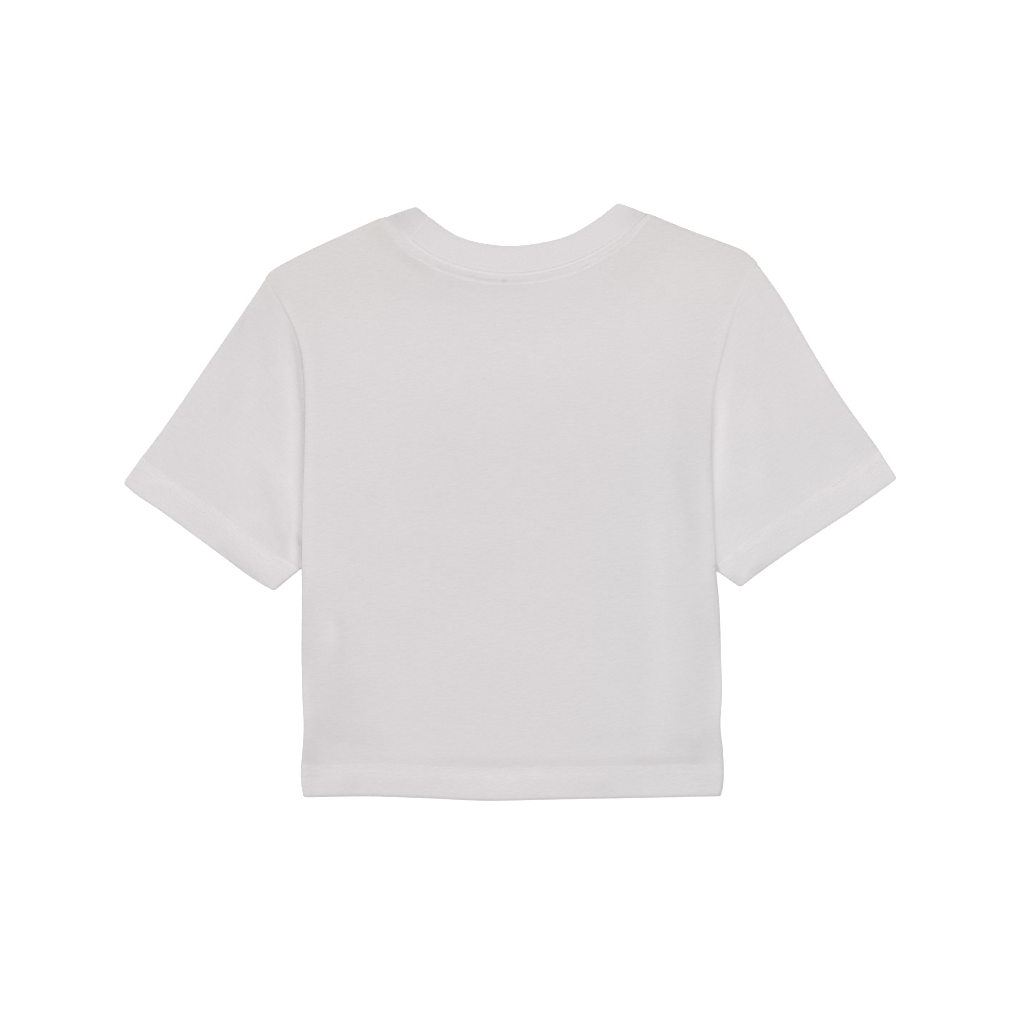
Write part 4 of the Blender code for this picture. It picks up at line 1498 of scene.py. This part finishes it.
@dataclass
class Sleeve:
    """A short sleeve: a pressed tube from the armhole to the cuff, with its turn-up inside.

    The groove beside the armhole seam has a depth, a half width, the distance along the seam at which it has
    begun to fade, and a painted shade. Inside it the seam itself lies in a narrow valley. Along the top fold
    the cloth gets painted light, or painted shade where that amount is negative.
    """

    side: Side
    creases: tuple[Crease, ...]
    under_creases: tuple[Crease, ...]
    groove: float
    groove_width: float
    groove_end: float
    groove_shade: float
    valley: float
    light: float
    hem_light: float
    fold_shading: float
    band: float = 0.0250
    tip_inset: float = 0.0016
    tip_reach: float = 0.0035
    tuck: float = 0.0010
    roll: float = 0.008
    ring_steps: int = 104
    rows: int = 84
    turn_steps: int = 5

    def shares(self) -> Numbers:
        """Return the columns' shares from the top fold to the underarm fold, closer together at both folds."""
        even = np.linspace(0.0, np.pi, self.ring_steps + 1)
        return mixed((1 - np.cos(even)) / 2, even / np.pi, 0.35)

    def line(self, rows: Sections) -> Curve:
        """Return one of the sleeve's lines."""
        return CUT.line(rows, self.side)

    def folds(self, places: Places) -> tuple[Numbers, Numbers]:
        """Return the distances to the top fold and to the underarm fold."""
        return self.line(CUT.sleeve_top).distance(places), self.line(CUT.sleeve_under).distance(places)

    def upper(self, places: Places) -> Numbers:
        """Return the levels of the upper ply.

        It is the loft and the creases, mixed towards the top level over the cuff's plies, with a short step at
        the turn-up's edge. It rolls down at its folds, and dips into a groove beside the armhole seam.

        Args:
            places: Places whose first two coordinates are their plan.

        Returns:
            The level at each place.
        """
        raised = over_turn_up(self.line(CUT.cuff).distance(places), 0.4)
        flat = LOFT_LEVEL + creased(places, self.creases)
        level = mixed(flat, mixed(flat, TOP_LEVEL, 0.95), raised)
        edge = mixed(EDGE_LEVEL, TOP_LEVEL, raised)
        level = mixed(edge, level, quarter_round(np.minimum(*self.folds(places)), self.roll))
        away, deep = self.beside_seam(places)
        groove = self.valley * bell(away, 0.0010) + self.groove * deep * bell(away, self.groove_width)
        return np.maximum(level - groove, FRONT_LEVEL + PLY)

    def beside_seam(self, places: Places) -> tuple[Numbers, Numbers]:
        """Return the distances out from the armhole seam, and how deep the groove is along the seam."""
        seam, travelled = self.line(CUT.armhole).measure(places)
        return np.maximum(self.outward(seam), 0.0), 1 - smooth_step((travelled - self.groove_end) / 0.05)

    def lower(self, places: Places) -> Numbers:
        """Return the levels of the lower ply: flat, with low creases that fade towards the cuff and the folds.

        The part that is tucked past the armhole seam rises on to the front panel.

        Args:
            places: Places whose first two coordinates are their plan.

        Returns:
            The level at each place.
        """
        cuff = self.line(CUT.cuff).distance(places)
        free = (1 - nearness(cuff, 0.028, 0.012)) * smooth_step(np.minimum(*self.folds(places)) / 0.010)
        seam = self.outward(self.line(CUT.armhole).measure(places)[0])
        tucked = 1 - smooth_step((seam + 0.0003) / 0.0008)
        return FRONT_LEVEL + creased(places, self.under_creases) * free + CLOTH * 1.2 * tucked

    def outward(self, signed: Numbers) -> Numbers:
        """Return the signed distances from the armhole, positive on the sleeve's side."""
        return signed * -self.side.value

    def rounded(self, reach: float) -> float:
        """Return how far the folds stay inside the cuff's corners: the square of the nearness to its edge."""
        return self.tip_inset * max(1 - reach / self.tip_reach, 0.0) ** 2

    def ring(self, plan: Places, upper: Numbers, lower: Numbers, inset: float) -> Places:
        """Return a pressed ring of cloth over a line from the top fold to the underarm fold.

        The upper ply runs over the line and the lower ply back under it. At both ends a half round, whose
        radius is half the distance between the plies, joins the two.

        Args:
            plan: The line's places.
            upper: The upper ply's level at each place.
            lower: The lower ply's level at each place.
            inset: How far the fold stays inside the line's ends.

        Returns:
            The ring's places.
        """
        places = plan.copy()
        turns = []
        for end, neighbour in ((0, 4), (-1, -5)):
            inward = unit(plan[neighbour] - plan[end])
            radius = (upper[end] - lower[end]) / 2
            push = (inset + radius) * np.clip(1 - away_from(plan, plan[end]) / 0.006, 0.0, 1.0)
            places = places + inward * push[:, None]
            angle = np.linspace(0.0, np.pi, self.turn_steps + 1)[1:-1]
            turn = places[end] - inward * (radius * np.sin(angle))[:, None]
            turns.append(with_level(turn, lower[end] + radius * (1 + np.cos(angle))))
        over = with_level(places, upper)
        under = with_level(places, lower)[::-1]
        return np.concatenate((over, turns[1], under, turns[0][::-1]))

    def inwards(self, share: Numbers) -> Places:
        """Return each column's direction from the cuff's edge into the sleeve, mixed from the folds' own."""
        top, under = self.line(CUT.sleeve_top).points, self.line(CUT.sleeve_under).points
        by_underarm = under[0] - under[-1]
        by_underarm = by_underarm / max(float(np.linalg.norm(by_underarm)), HEM_DEPTH + 0.002)
        return mixed(unit(top[-10] - top[-1]), by_underarm, share[:, None])

    def plan(self, share: Numbers, hem_line: Places) -> Places:
        """Return the plan from the armhole, under which the sleeve is tucked a little, to the turn-up's line.

        Args:
            share: The columns' shares from the top fold to the underarm fold.
            hem_line: The places where the turn-up starts.

        Returns:
            The grid's places in plan.
        """
        armhole = clear_of_seam(self.line(CUT.armhole).at(1 - share), -self.side.value, self.tuck)
        even = np.linspace(0.0, 1.0, self.rows + 1)
        row = np.concatenate((spread(((0.0, 0.030, 12),)), 0.030 + 0.970 * mixed(even, even**2, 0.5)))
        edges = []
        for rows, end in ((CUT.sleeve_top, 0), (CUT.sleeve_under, -1)):
            points = self.line(rows).points
            kept = points[away_from(points, points[-1]) > HEM_DEPTH]
            edges.append(polyline_at(np.vstack((armhole[end], kept[1:], hem_line[end])), row))
        return patch(armhole, hem_line, edges[0], edges[1], share, row)

    def turn_up(self) -> list[tuple[float, float]]:
        """Return the turn-up's rows: each one's reach above the cuff's edge, and its depth below the outer ply.

        They run down to the edge on the outer ply, round it as a half round and back up inside.
        """
        radius = (TOP_LEVEL - BACK_TURN_UP_LEVEL) / 2
        outside = np.linspace(HEM_DEPTH, radius + FOLD_CLEAR, 30)[1:]
        angles = np.linspace(0.0, np.pi, 7)
        inside = np.linspace(HEM_DEPTH / 4, HEM_DEPTH - FOLD_CLEAR, 7)
        reaches = np.concatenate((outside, CLOTH / 2 + radius * (1 - np.sin(angles)), inside))
        depths = np.concatenate((outside * 0, radius * (1 - np.cos(angles)), np.full(7, 2 * radius)))
        return list(zip(reaches, depths))

    def build(self, finish: bpy.types.Material) -> bpy.types.Object:
        """Make the sleeve from rings, as one sheet of its whole cut.

        Args:
            finish: The jersey's material.

        Returns:
            The sleeve's object.
        """
        share = self.shares()
        cuff = self.line(CUT.cuff).at(share)
        up = self.inwards(share)
        inset = CLOTH / 2
        rings = []
        for line in self.plan(share, cuff + HEM_DEPTH * up):
            rings.append(self.ring(line, self.upper(line), self.lower(line), inset))
        for reach, depth in self.turn_up():
            line = cuff + reach * up
            stays = inset + depth + self.rounded(reach)
            rings.append(self.ring(line, self.upper(line) - depth, self.lower(line) + depth, stays))
        grid = np.array(rings)

        ends = self.line(CUT.cuff).points[[0, -1]]
        along = unit(ends[1] - ends[0])
        axes = np.stack((along, (-along[1], along[0])), axis=-1)
        uv = grid[..., :2] @ axes + np.array((2.0, 2.0 * self.side.value))
        name = f"sleeve_{self.side.name.lower()}"
        cloth = Cloth(f"{name}_jersey", (name,), Slot.JERSEY, grid, uv, self.lines(grid), ring=True)
        piece = cloth.build(finish)
        return piece

    def lines(self, grid: Places) -> dict[str, Numbers]:
        """Return the distances that the knit finish reads, and how light and how yellowed the cloth is.

        The painted shading of the creases, of the seam's bands and of the groove counts only on the upper ply.

        Args:
            grid: The sleeve's mid-surface.

        Returns:
            Each attribute's values.
        """
        hem = self.line(CUT.cuff).distance(grid)
        top, under = self.folds(grid)
        warm = 0.22 * bell(away_from(grid, self.line(CUT.armhole).points[-1]), 0.030)
        away, deep = self.beside_seam(grid)
        shade = toned(grid, self.creases) + seam_shaded(grid, self.side)
        # Painted shade in the groove beside the armhole seam.
        shade = shade + self.groove_shade * deep * (1 - smooth_step(away / (1.3 * self.groove_width)))
        over = smooth_step((grid[..., 2] - FRONT_LEVEL - PLY / 2) / (PLY / 2))
        tone = self.light + self.hem_light * nearness(hem, self.band, 0.0012) + shade * over
        tone = tone + 0.012 * nearness(np.abs(hem - 0.0235), 0.0030, 0.0012)
        # Painted light and shade along the top fold, and painted shade along the underarm fold.
        tone = tone + faded(top, ((self.fold_shading, 0.003), (-0.05, 0.0008)))
        tone = tone + faded(under, ((-0.010, 0.003), (-0.025, 0.0008)))
        return {"hem": hem, "tape": np.full_like(hem, FAR), "tone": tone, "warm": warm, "cool": greyed(grid)}


@dataclass
class NeckRib:
    """The neck rib: a strip folded lengthwise, sewn round the neckline, that turns at both neck points.

    A half of the strip is three arrays: the places on its seam, those on its folded edge, and the unit vectors
    from the seam to the edge.
    """

    seam_gap: float = 0.00002
    half_steps: int = 150
    turn_steps: int = 14
    across_steps: int = 9
    fold_steps: int = 6
    height: float = 0.024
    crown: float = 0.0004
    corner: float = 0.10
    dip: float = 0.0007
    dip_width: float = 0.020
    # Painted shade in the dip beside the left neck point, along the folded edge, and at both ends of the seam.
    dip_shade: float = -0.045
    edge_shade: float = -0.03
    seam_end_shades: tuple[tuple[int, float, float], ...] = ((0, -0.12, 0.018), (-1, -0.10, 0.015))
    join_from: Point = (-0.0800, 0.2106)
    join_to: Point = (-0.0676, 0.2247)
    row_span: Point = (-0.0790, 0.0890)
    middle: float = FRONT_LEVEL - CLOTH / 2 + 0.0005 + PLY * 3 / 2

    def half(self, rows: Sections) -> Half:
        """Return a half of the strip."""
        shares = np.linspace(0.0, 1.0, self.half_steps + 1)
        seam, edge = (line.at(shares) for line in CUT.band(rows))
        seam = clear_of_seam(seam, 1, self.seam_gap)
        toward = unit(edge - seam)
        return seam, edge - toward * (CLOTH / 2 + PLY / 2), toward

    def clear_end(self, back: Half, front: Half, end: int, neighbour: int) -> Places:
        """Draw both halves in at a neck point, by the radius of the strip's turn there.

        Args:
            back: The back half, whose seam and edge are moved.
            front: The front half, whose seam and edge are moved.
            end: The neck point's place along the halves.
            neighbour: The place next to it.

        Returns:
            The unit vector out of the neck point, square to the strip.
        """
        along = back[2][end]
        outward = np.array((-along[1], along[0])) * np.sign(along[0])
        for line in (*back[:2], *front[:2]):
            inward = unit(line[neighbour] - line[end])
            push = (CLOTH / 2 + PLY * 3 / 2) / np.dot(inward, -outward)
            line += inward * (push * np.clip(1 - away_from(line, line[end]) / 0.012, 0.0, 1.0))[:, None]
        return outward

    def section(self) -> tuple[Numbers, Numbers, Numbers]:
        """Return the folded strip's section.

        Each of its places has the share of the way from seam to edge, the reach past the edge, and the radius
        about the middle of the four plies. The fold is a half round between the two plies.

        Returns:
            The shares, the reaches and the radii, each as a column.
        """
        shares = np.linspace(0.0, 1.0, self.across_steps + 1)
        angles = np.linspace(0.0, np.pi, self.fold_steps + 1)[1:-1]
        close = np.concatenate((np.linspace(1.0, 0.22, self.across_steps + 1), np.linspace(0.22, 0.0, 9)[1:]))
        under, fold, over = shares[::3], np.ones(len(angles)), close
        share = np.concatenate((under, fold, over))
        reach = np.concatenate((under * 0, PLY / 2 * np.sin(angles), over * 0))
        radius = np.concatenate((under * 0 + PLY / 2, PLY - PLY / 2 * np.cos(angles), over * 0 + PLY * 3 / 2))
        return share[:, None], reach[:, None], radius[:, None]

    def stations(self, half: Half, turned: Places, angle: Numbers) -> Places:
        """Return the strip's places at some stations, as section places by stations.

        The outer ply is crowned, by a parabola across the band, and the edge is drawn in where the strip turns.

        Args:
            half: The stations' seam places, edge places and unit vectors.
            turned: The vector out of the neck point.
            angle: How far each station has turned, from 0 on the upper plies to pi on the lower ones.

        Returns:
            The places.
        """
        seam, edge, toward = half
        share, reach, radius = self.section()
        crown = self.crown * 4 * share * (1 - share) * (radius > PLY) * (1 + np.cos(angle)) / 2
        out = radius + crown
        across = share - self.corner * share**6 * (1 - np.abs(np.cos(angle)))
        plan = mixed(seam[None], edge[None], across[..., None]) + toward[None] * reach[..., None]
        plan = plan + turned[None] * (out * np.sin(angle)[None])[..., None]
        return with_level(plan, self.middle + out * np.cos(angle)[None])

    def ring(self, back: Half, front: Half) -> Places:
        """Return the whole strip: a turn, the back half, a turn back and the front half.

        At each neck point the strip turns from the upper plies to the lower ones about a line from the seam to
        the neck edge.

        Args:
            back: The back half.
            front: The front half.

        Returns:
            The places, as section places by stations.
        """
        left = self.clear_end(back, front, 0, 1)
        right = self.clear_end(back, front, -1, -2)
        angles = np.linspace(0.0, np.pi, self.turn_steps + 1)
        part = (angles / np.pi)[:, None]
        flat = np.zeros(self.half_steps - 1)
        still = np.zeros((1, 2))
        turn_left, turn_right = (
            tuple(mixed(upper[end], lower[end], part) for upper, lower in zip(back, front)) for end in (0, -1)
        )
        return np.concatenate((
            self.stations(turn_left, left[None], angles)[:, ::-1],
            self.stations(tuple(line[1:-1] for line in back), still, flat),
            self.stations(turn_right, right[None], angles),
            self.stations(tuple(line[-2:0:-1] for line in front), still, flat + np.pi),
        ), axis=1)

    def join(self, grid: Places, upper: Numbers) -> Numbers:
        """Return the distances to the ring's join, which shows on the upper plies of its left part only."""
        first = np.array(self.join_from)
        along = unit(np.array(self.join_to) - first)
        offset = grid[..., :2] - first
        join = offset[..., 0] * along[1] - offset[..., 1] * along[0]
        return np.where(upper & (offset @ along > -0.004) & (grid[..., 0] < -0.04), join, FAR)

    def build(self, finish: bpy.types.Material) -> bpy.types.Object:
        """Make the strip.

        Its upper plies dip towards their folded edge beside the left neck point. It is darker there, at both
        ends of the seam and along its folded edge, all painted shade.

        Args:
            finish: The rib's material.

        Returns:
            The rib's object.
        """
        back, front = self.half(CUT.back_neck), self.half(CUT.front_neck)
        grid = self.ring(back, front)
        share = np.clip(self.section()[0], 0, 1)
        upper = grid[..., 2] > self.middle
        left = bell(away_from(grid, back[1][0]), self.dip_width)
        grid[..., 2] -= np.where(upper, self.dip * left * share**2, 0.0)

        steps = np.linalg.norm(np.diff(grid[-1, :, :2], axis=0, append=grid[-1, :1, :2]), axis=1)
        across = np.concatenate(([0.0], np.cumsum(np.linalg.norm(np.diff(grid[:, 60], axis=0), axis=1))))
        uv = np.stack(np.broadcast_arrays(np.cumsum(steps), across[:, None]), axis=-1)
        seam = np.broadcast_to(across[-1] - across[:, None], upper.shape)
        # Painted shade in the dip, at both ends of the seam and along the folded edge.
        tone = self.dip_shade * left
        for end, end_shade, reach in self.seam_end_shades:
            tone = tone + end_shade * bell(away_from(grid, back[0][end]), reach)
        tone = tone * upper + faded((1 - share) * self.height, ((self.edge_shade, 0.0015),))
        shown = ~upper | ((grid[..., 0] > self.row_span[0]) & (grid[..., 0] < self.row_span[1]))
        join = self.join(grid, upper)
        lines = {"seam": seam, "stitched": np.where(shown, seam, FAR), "join": join, "tone": tone}
        cloth =Cloth("neck_rib_knit", ("neck_rib",), Slot.RIB, grid, uv, lines, ring=True)
        piece = cloth.build(finish)
        return piece


@dataclass
class NeckTape:
    """The tape along the inside of the back neck seam, one ply under the back panel."""

    back: BackPanel
    inset: float = 0.0010
    width: float = 0.0090
    end_share: float = 0.02
    steps: int = 120
    across_steps: int = 6

    def build(self, finish: bpy.types.Material) -> bpy.types.Object:
        """Make the tape from lines at even distances below the neck seam, one ply under the back panel.

        Args:
            finish: The tape's material.

        Returns:
            The tape's object.
        """
        shares = np.linspace(self.end_share, 1 - self.end_share, self.steps + 1)
        seam = self.back.neck.at(shares)
        along = self.back.neck.direction(shares)
        below = np.stack((along[:, 1], -along[:, 0]), axis=1)
        reach = np.linspace(self.inset, self.inset + self.width, self.across_steps + 1)
        plan = seam[None] + below[None] * reach[:, None, None]
        grid = with_level(plan, np.minimum(self.back.surface(plan), TOP_LEVEL) - PLY)
        uv = np.stack(np.broadcast_arrays(shares[None] * self.back.neck.length, reach[:, None] + 3.0), axis=-1)
        lines = {"hem": FAR, "tape": FAR, "tone": 0.0, "warm": 0.0, "cool": 0.0}
        cloth = Cloth("neck_tape_jersey", ("neck_tape",), Slot.TAPE, grid, uv, lines)
        piece = cloth.build(finish)
        return piece


def even_level(level: float) -> Height:
    """Return a surface that has the same level everywhere."""
    return lambda places: np.full(places.shape[:-1], level)


@dataclass
class StitchRow:
    """A row of stitches along a line in plan, on a surface.

    It runs between two shares of the line, at an offset to the line's left, and faces up (1) or down (-1).
    """

    line: Curve
    surface: Height
    start: float
    end: float
    offset: float
    facing: int = 1
    pitch: float = 0.0028
    length: float = 0.0026
    radius: float = 0.00025
    STATIONS: ClassVar[int] = 5
    SIDES: ClassVar[int] = 5

    def places(self) -> Places:
        """Return every stitch's vertices, as stitches by vertices.

        A stitch is a five-sided tube over five stations. Its height is a half ellipse along its length, and it
        narrows by the same ellipse, so both ends sink into the cloth. Stitches that face down lie deeper in it.

        Returns:
            The places.
        """
        count = max(int(self.line.length * (self.end - self.start) / self.pitch), 2)
        shares = np.linspace(self.start, self.end, count)
        along = self.line.direction(shares)
        across = np.stack((-along[:, 1], along[:, 0]), axis=1)
        centre = self.line.at(shares) + across * self.offset
        sunk = 0.0 if self.facing > 0 else UNDERSIDE_SUNK
        level = self.surface(centre) + self.facing * (CLOTH / 2 - sunk)

        station = np.linspace(-1.0, 1.0, self.STATIONS)
        angle = np.linspace(0.0, 2 * np.pi, self.SIDES, endpoint=False)
        swell = np.sqrt(np.clip(1 - station**2, 0.0, 1.0))
        girth = self.radius * (0.45 + 0.55 * swell)
        forward = np.repeat(station * self.length / 2, self.SIDES)
        sideways = (girth[:, None] * np.cos(angle)).ravel()
        lift = (self.radius * (swell[:, None] - 0.55) + girth[:, None] * np.sin(angle)).ravel()
        plan = centre[:, None] + along[:, None] * forward[:, None] + across[:, None] * sideways[:, None]
        return with_level(plan, level[:, None] + self.facing * lift)


@dataclass
class Stitching:
    """The stitches of one seam or hem, as one object."""

    name: str
    rows: Sequence[StitchRow]

    def build(self, finish: bpy.types.Material) -> bpy.types.Object:
        """Join the rows' stitches into one mesh.

        Args:
            finish: The thread's material.

        Returns:
            The stitches' object.
        """
        made = [row.places() for row in self.rows]
        places = np.concatenate(made)
        up = np.concatenate([np.full((len(part), 1, 1), row.facing > 0) for part, row in zip(made, self.rows)])
        count = StitchRow.STATIONS * StitchRow.SIDES
        first = np.arange(len(places))[:, None, None] * count
        rim = np.arange(StitchRow.SIDES)
        sides = first + grid_faces(StitchRow.STATIONS, StitchRow.SIDES, True)
        ends = first + np.array((rim[::-1], rim + count - StitchRow.SIDES))
        sides = np.where(up, sides[..., ::-1], sides).reshape(-1, sides.shape[-1])
        ends = np.where(up, ends[..., ::-1], ends).reshape(-1, ends.shape[-1])
        piece = mesh_piece(self.name, places, sides, finish, ends.tolist())
        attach(piece, BODY)
        LOG.info("%s: %d stitches", self.name, len(places))
        return piece


@dataclass
class Studio:
    """The plain floor, the soft lights and the camera."""

    centre: Point = (0.00156, -0.0082)
    view_width: float = 0.8192
    view_level: float = 0.0028
    distance: float = 3.0
    sensor: float = 36.0
    sight: float = 100.0
    sky: float = 0.30
    overhead: float = 1.95
    overhead_softness: float = 70.0
    key: float = 0.50
    key_height: float = 40.0
    key_bearing: float = 150.0
    key_softness: float = 30.0
    floor_size: float = 30.0
    floor_drop: float = 0.0001

    def floor(self, finish: bpy.types.Material) -> bpy.types.Object:
        """Make the floor, a shade under the garment."""
        half = self.floor_size / 2
        corners = np.array(((-half, -half), (half, -half), (half, half), (-half, half)))
        plane = mesh_piece("floor", with_level(corners, -self.floor_drop), np.array(((0, 1, 2, 3),)), finish)
        plane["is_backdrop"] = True
        return plane

    def lights(self) -> None:
        """Add an even sky, white where the camera sees it, a broad light overhead and a soft key."""
        world = bpy.data.worlds.new("studio")
        world.use_nodes = True
        tree = world.node_tree
        background = tree.nodes["Background"]
        background.inputs["Color"].default_value = (1.0, 1.0, 1.0, 1.0)
        seen = tree.nodes.new("ShaderNodeLightPath").outputs["Is Camera Ray"]
        strength = tree.nodes.new("ShaderNodeMapRange")
        strength.inputs["To Min"].default_value = self.sky
        strength.inputs["To Max"].default_value = 1.0
        tree.links.new(seen, strength.inputs["Value"])
        tree.links.new(strength.outputs["Result"], background.inputs["Strength"])
        bpy.context.scene.world = world

        self.light("overhead", self.overhead, self.overhead_softness, 90.0, 0.0)
        self.light("key", self.key, self.key_softness, self.key_height, self.key_bearing)

    def light(self, name: str, strength: float, softness: float, height: float, bearing: float) -> None:
        """Add a far, soft light.

        Args:
            name: Its name.
            strength: How strong it is.
            softness: How wide it looks from the garment, in degrees.
            height: How high it stands, in degrees.
            bearing: Where it stands, in degrees turned from +X towards +Y.
        """
        lamp = bpy.data.lights.new(name, "SUN")
        lamp.energy = strength
        lamp.angle = np.radians(softness)
        link(name, lamp).rotation_euler = (0.0, np.radians(90.0 - height), np.radians(bearing))

    def camera(self) -> None:
        """Add the camera, straight above, whose lens takes in the view's width at the garment."""
        lens = bpy.data.cameras.new("camera")
        lens.sensor_width = self.sensor
        lens.lens = self.sensor * (self.distance - self.view_level) / self.view_width
        lens.clip_end = self.sight
        camera = link("camera", lens)
        camera.location = (*self.centre, self.distance)
        bpy.context.scene.camera = camera

    def colours(self) -> None:
        """Show colours as they are."""
        bpy.context.scene.view_settings.view_transform = "Standard"
        bpy.context.scene.view_settings.look = "None"


@dataclass
class CropTop:
    """The whole garment."""

    back: BackPanel = field(default_factory=BackPanel)
    front: FrontPanel = field(default_factory=FrontPanel)
    # Each sleeve's groove and top fold carry painted shade and light.
    left: Sleeve = field(default_factory=lambda: Sleeve(
        Side.LEFT, LEFT_SLEEVE_CREASES, LEFT_SLEEVE_UNDER_CREASES, groove=0.0010, groove_width=0.0040,
        groove_end=0.160, groove_shade=-0.06, valley=0.0001, light=0.006, hem_light=0.026, fold_shading=-0.020,
        band=0.0262,
    ))
    right: Sleeve = field(default_factory=lambda: Sleeve(
        Side.RIGHT, RIGHT_SLEEVE_CREASES, RIGHT_SLEEVE_UNDER_CREASES, groove=0.0004, groove_width=0.0020,
        groove_end=0.140, groove_shade=-0.02, valley=0.0001, light=0.014, hem_light=0.016, fold_shading=0.070,
    ))
    rib: NeckRib = field(default_factory=NeckRib)
    hem_span: Point = (0.012, 0.988)
    cuff_spans: tuple[Point, Point] = ((0.02, 0.93), (0.015, 0.91))

    def hem_rows(self) -> list[StitchRow]:
        """Return the hem's two rows, on the back and on the front."""
        hem = CUT.curve(CUT.hem)
        return [
            StitchRow(hem, panel.surface, *self.hem_span, offset, facing)
            for panel, facing in ((self.back, 1), (self.front, -1))
            for offset in HEM_ROWS
        ]

    def cuff_rows(self, sleeve: Sleeve) -> list[StitchRow]:
        """Return a cuff's two rows, on its upper and its lower ply."""
        line = sleeve.line(CUT.cuff)
        if sleeve.side is Side.RIGHT:
            line = Curve(line.points[::-1][::6])
        rows = []
        for surface, facing in ((sleeve.upper, 1), (sleeve.lower, -1)):
            for offset, (start, end) in zip(HEM_ROWS, self.cuff_spans):
                span = (start, end) if sleeve.side is Side.LEFT else (1 - end, 1 - start)
                rows.append(StitchRow(line, surface, *span, offset, facing))
        return rows

    def neck_rows(self) -> list[StitchRow]:
        """Return the neck's rows, one on the rib and one below it, on the back and on the front."""
        on_rib = {"pitch": NECK_PITCH, "length": 0.0017}
        below = {"pitch": NECK_PITCH, "length": 0.0018}
        back, front, tape = self.back.neck, self.front.neck, CUT.curve(CUT.tape_row)
        return [
            StitchRow(back, even_level(TOP_LEVEL + 0.0001), 0.085, 0.95, 0.0030, **on_rib),
            StitchRow(tape, self.back.surface, 0.03, 0.985, 0.00010, radius=0.00017, **below),
            StitchRow(front, even_level(FRONT_LEVEL), 0.02, 0.98, 0.0030, -1, **on_rib),
            StitchRow(front, self.front.surface, 0.02, 0.98, -FRONT_NECK_ROW, -1, **below),
        ]

    def build(self) -> None:
        """Build every piece in order and dress it."""
        jersey = KnitFinish("off_white_jersey").material()
        rib = RibFinish("off_white_rib").material()
        tape = KnitFinish("off_white_tape", colour=(0.675, 0.645, 0.658)).material()
        thread = ThreadFinish("off_white_thread").material()

        for piece in (self.front, self.back, self.left, self.right):
            piece.build(jersey)
        self.rib.build(rib)
        NeckTape(self.back).build(tape)
        Stitching("hem_stitches", self.hem_rows()).build(thread)
        Stitching("cuff_stitches_left", self.cuff_rows(self.left)).build(thread)
        Stitching("cuff_stitches_right", self.cuff_rows(self.right)).build(thread)
        Stitching("neck_stitches", self.neck_rows()).build(thread)


def corners(box: Sequence[Sequence[float]]) -> list[list[float]]:
    """Return a box's two corners as plain lists of numbers."""
    return [[float(part) for part in corner] for corner in box]


def main() -> None:
    """Build the garment and its studio, and write how large the frame and the garment are."""
    logging.basicConfig(level=logging.INFO, format="%(name)s: %(message)s")
    studio = Studio()
    studio.camera()
    studio.lights()
    studio.colours()
    studio.floor(FloorFinish().material())
    CropTop().build()
    {"cad": corners(CAD_BOUNDS), "visual": corners(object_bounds())}
    LOG.info("frame %s, garment %s", corners(CAD_BOUNDS), corners(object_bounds()))


if __name__ == "__main__":
    main()
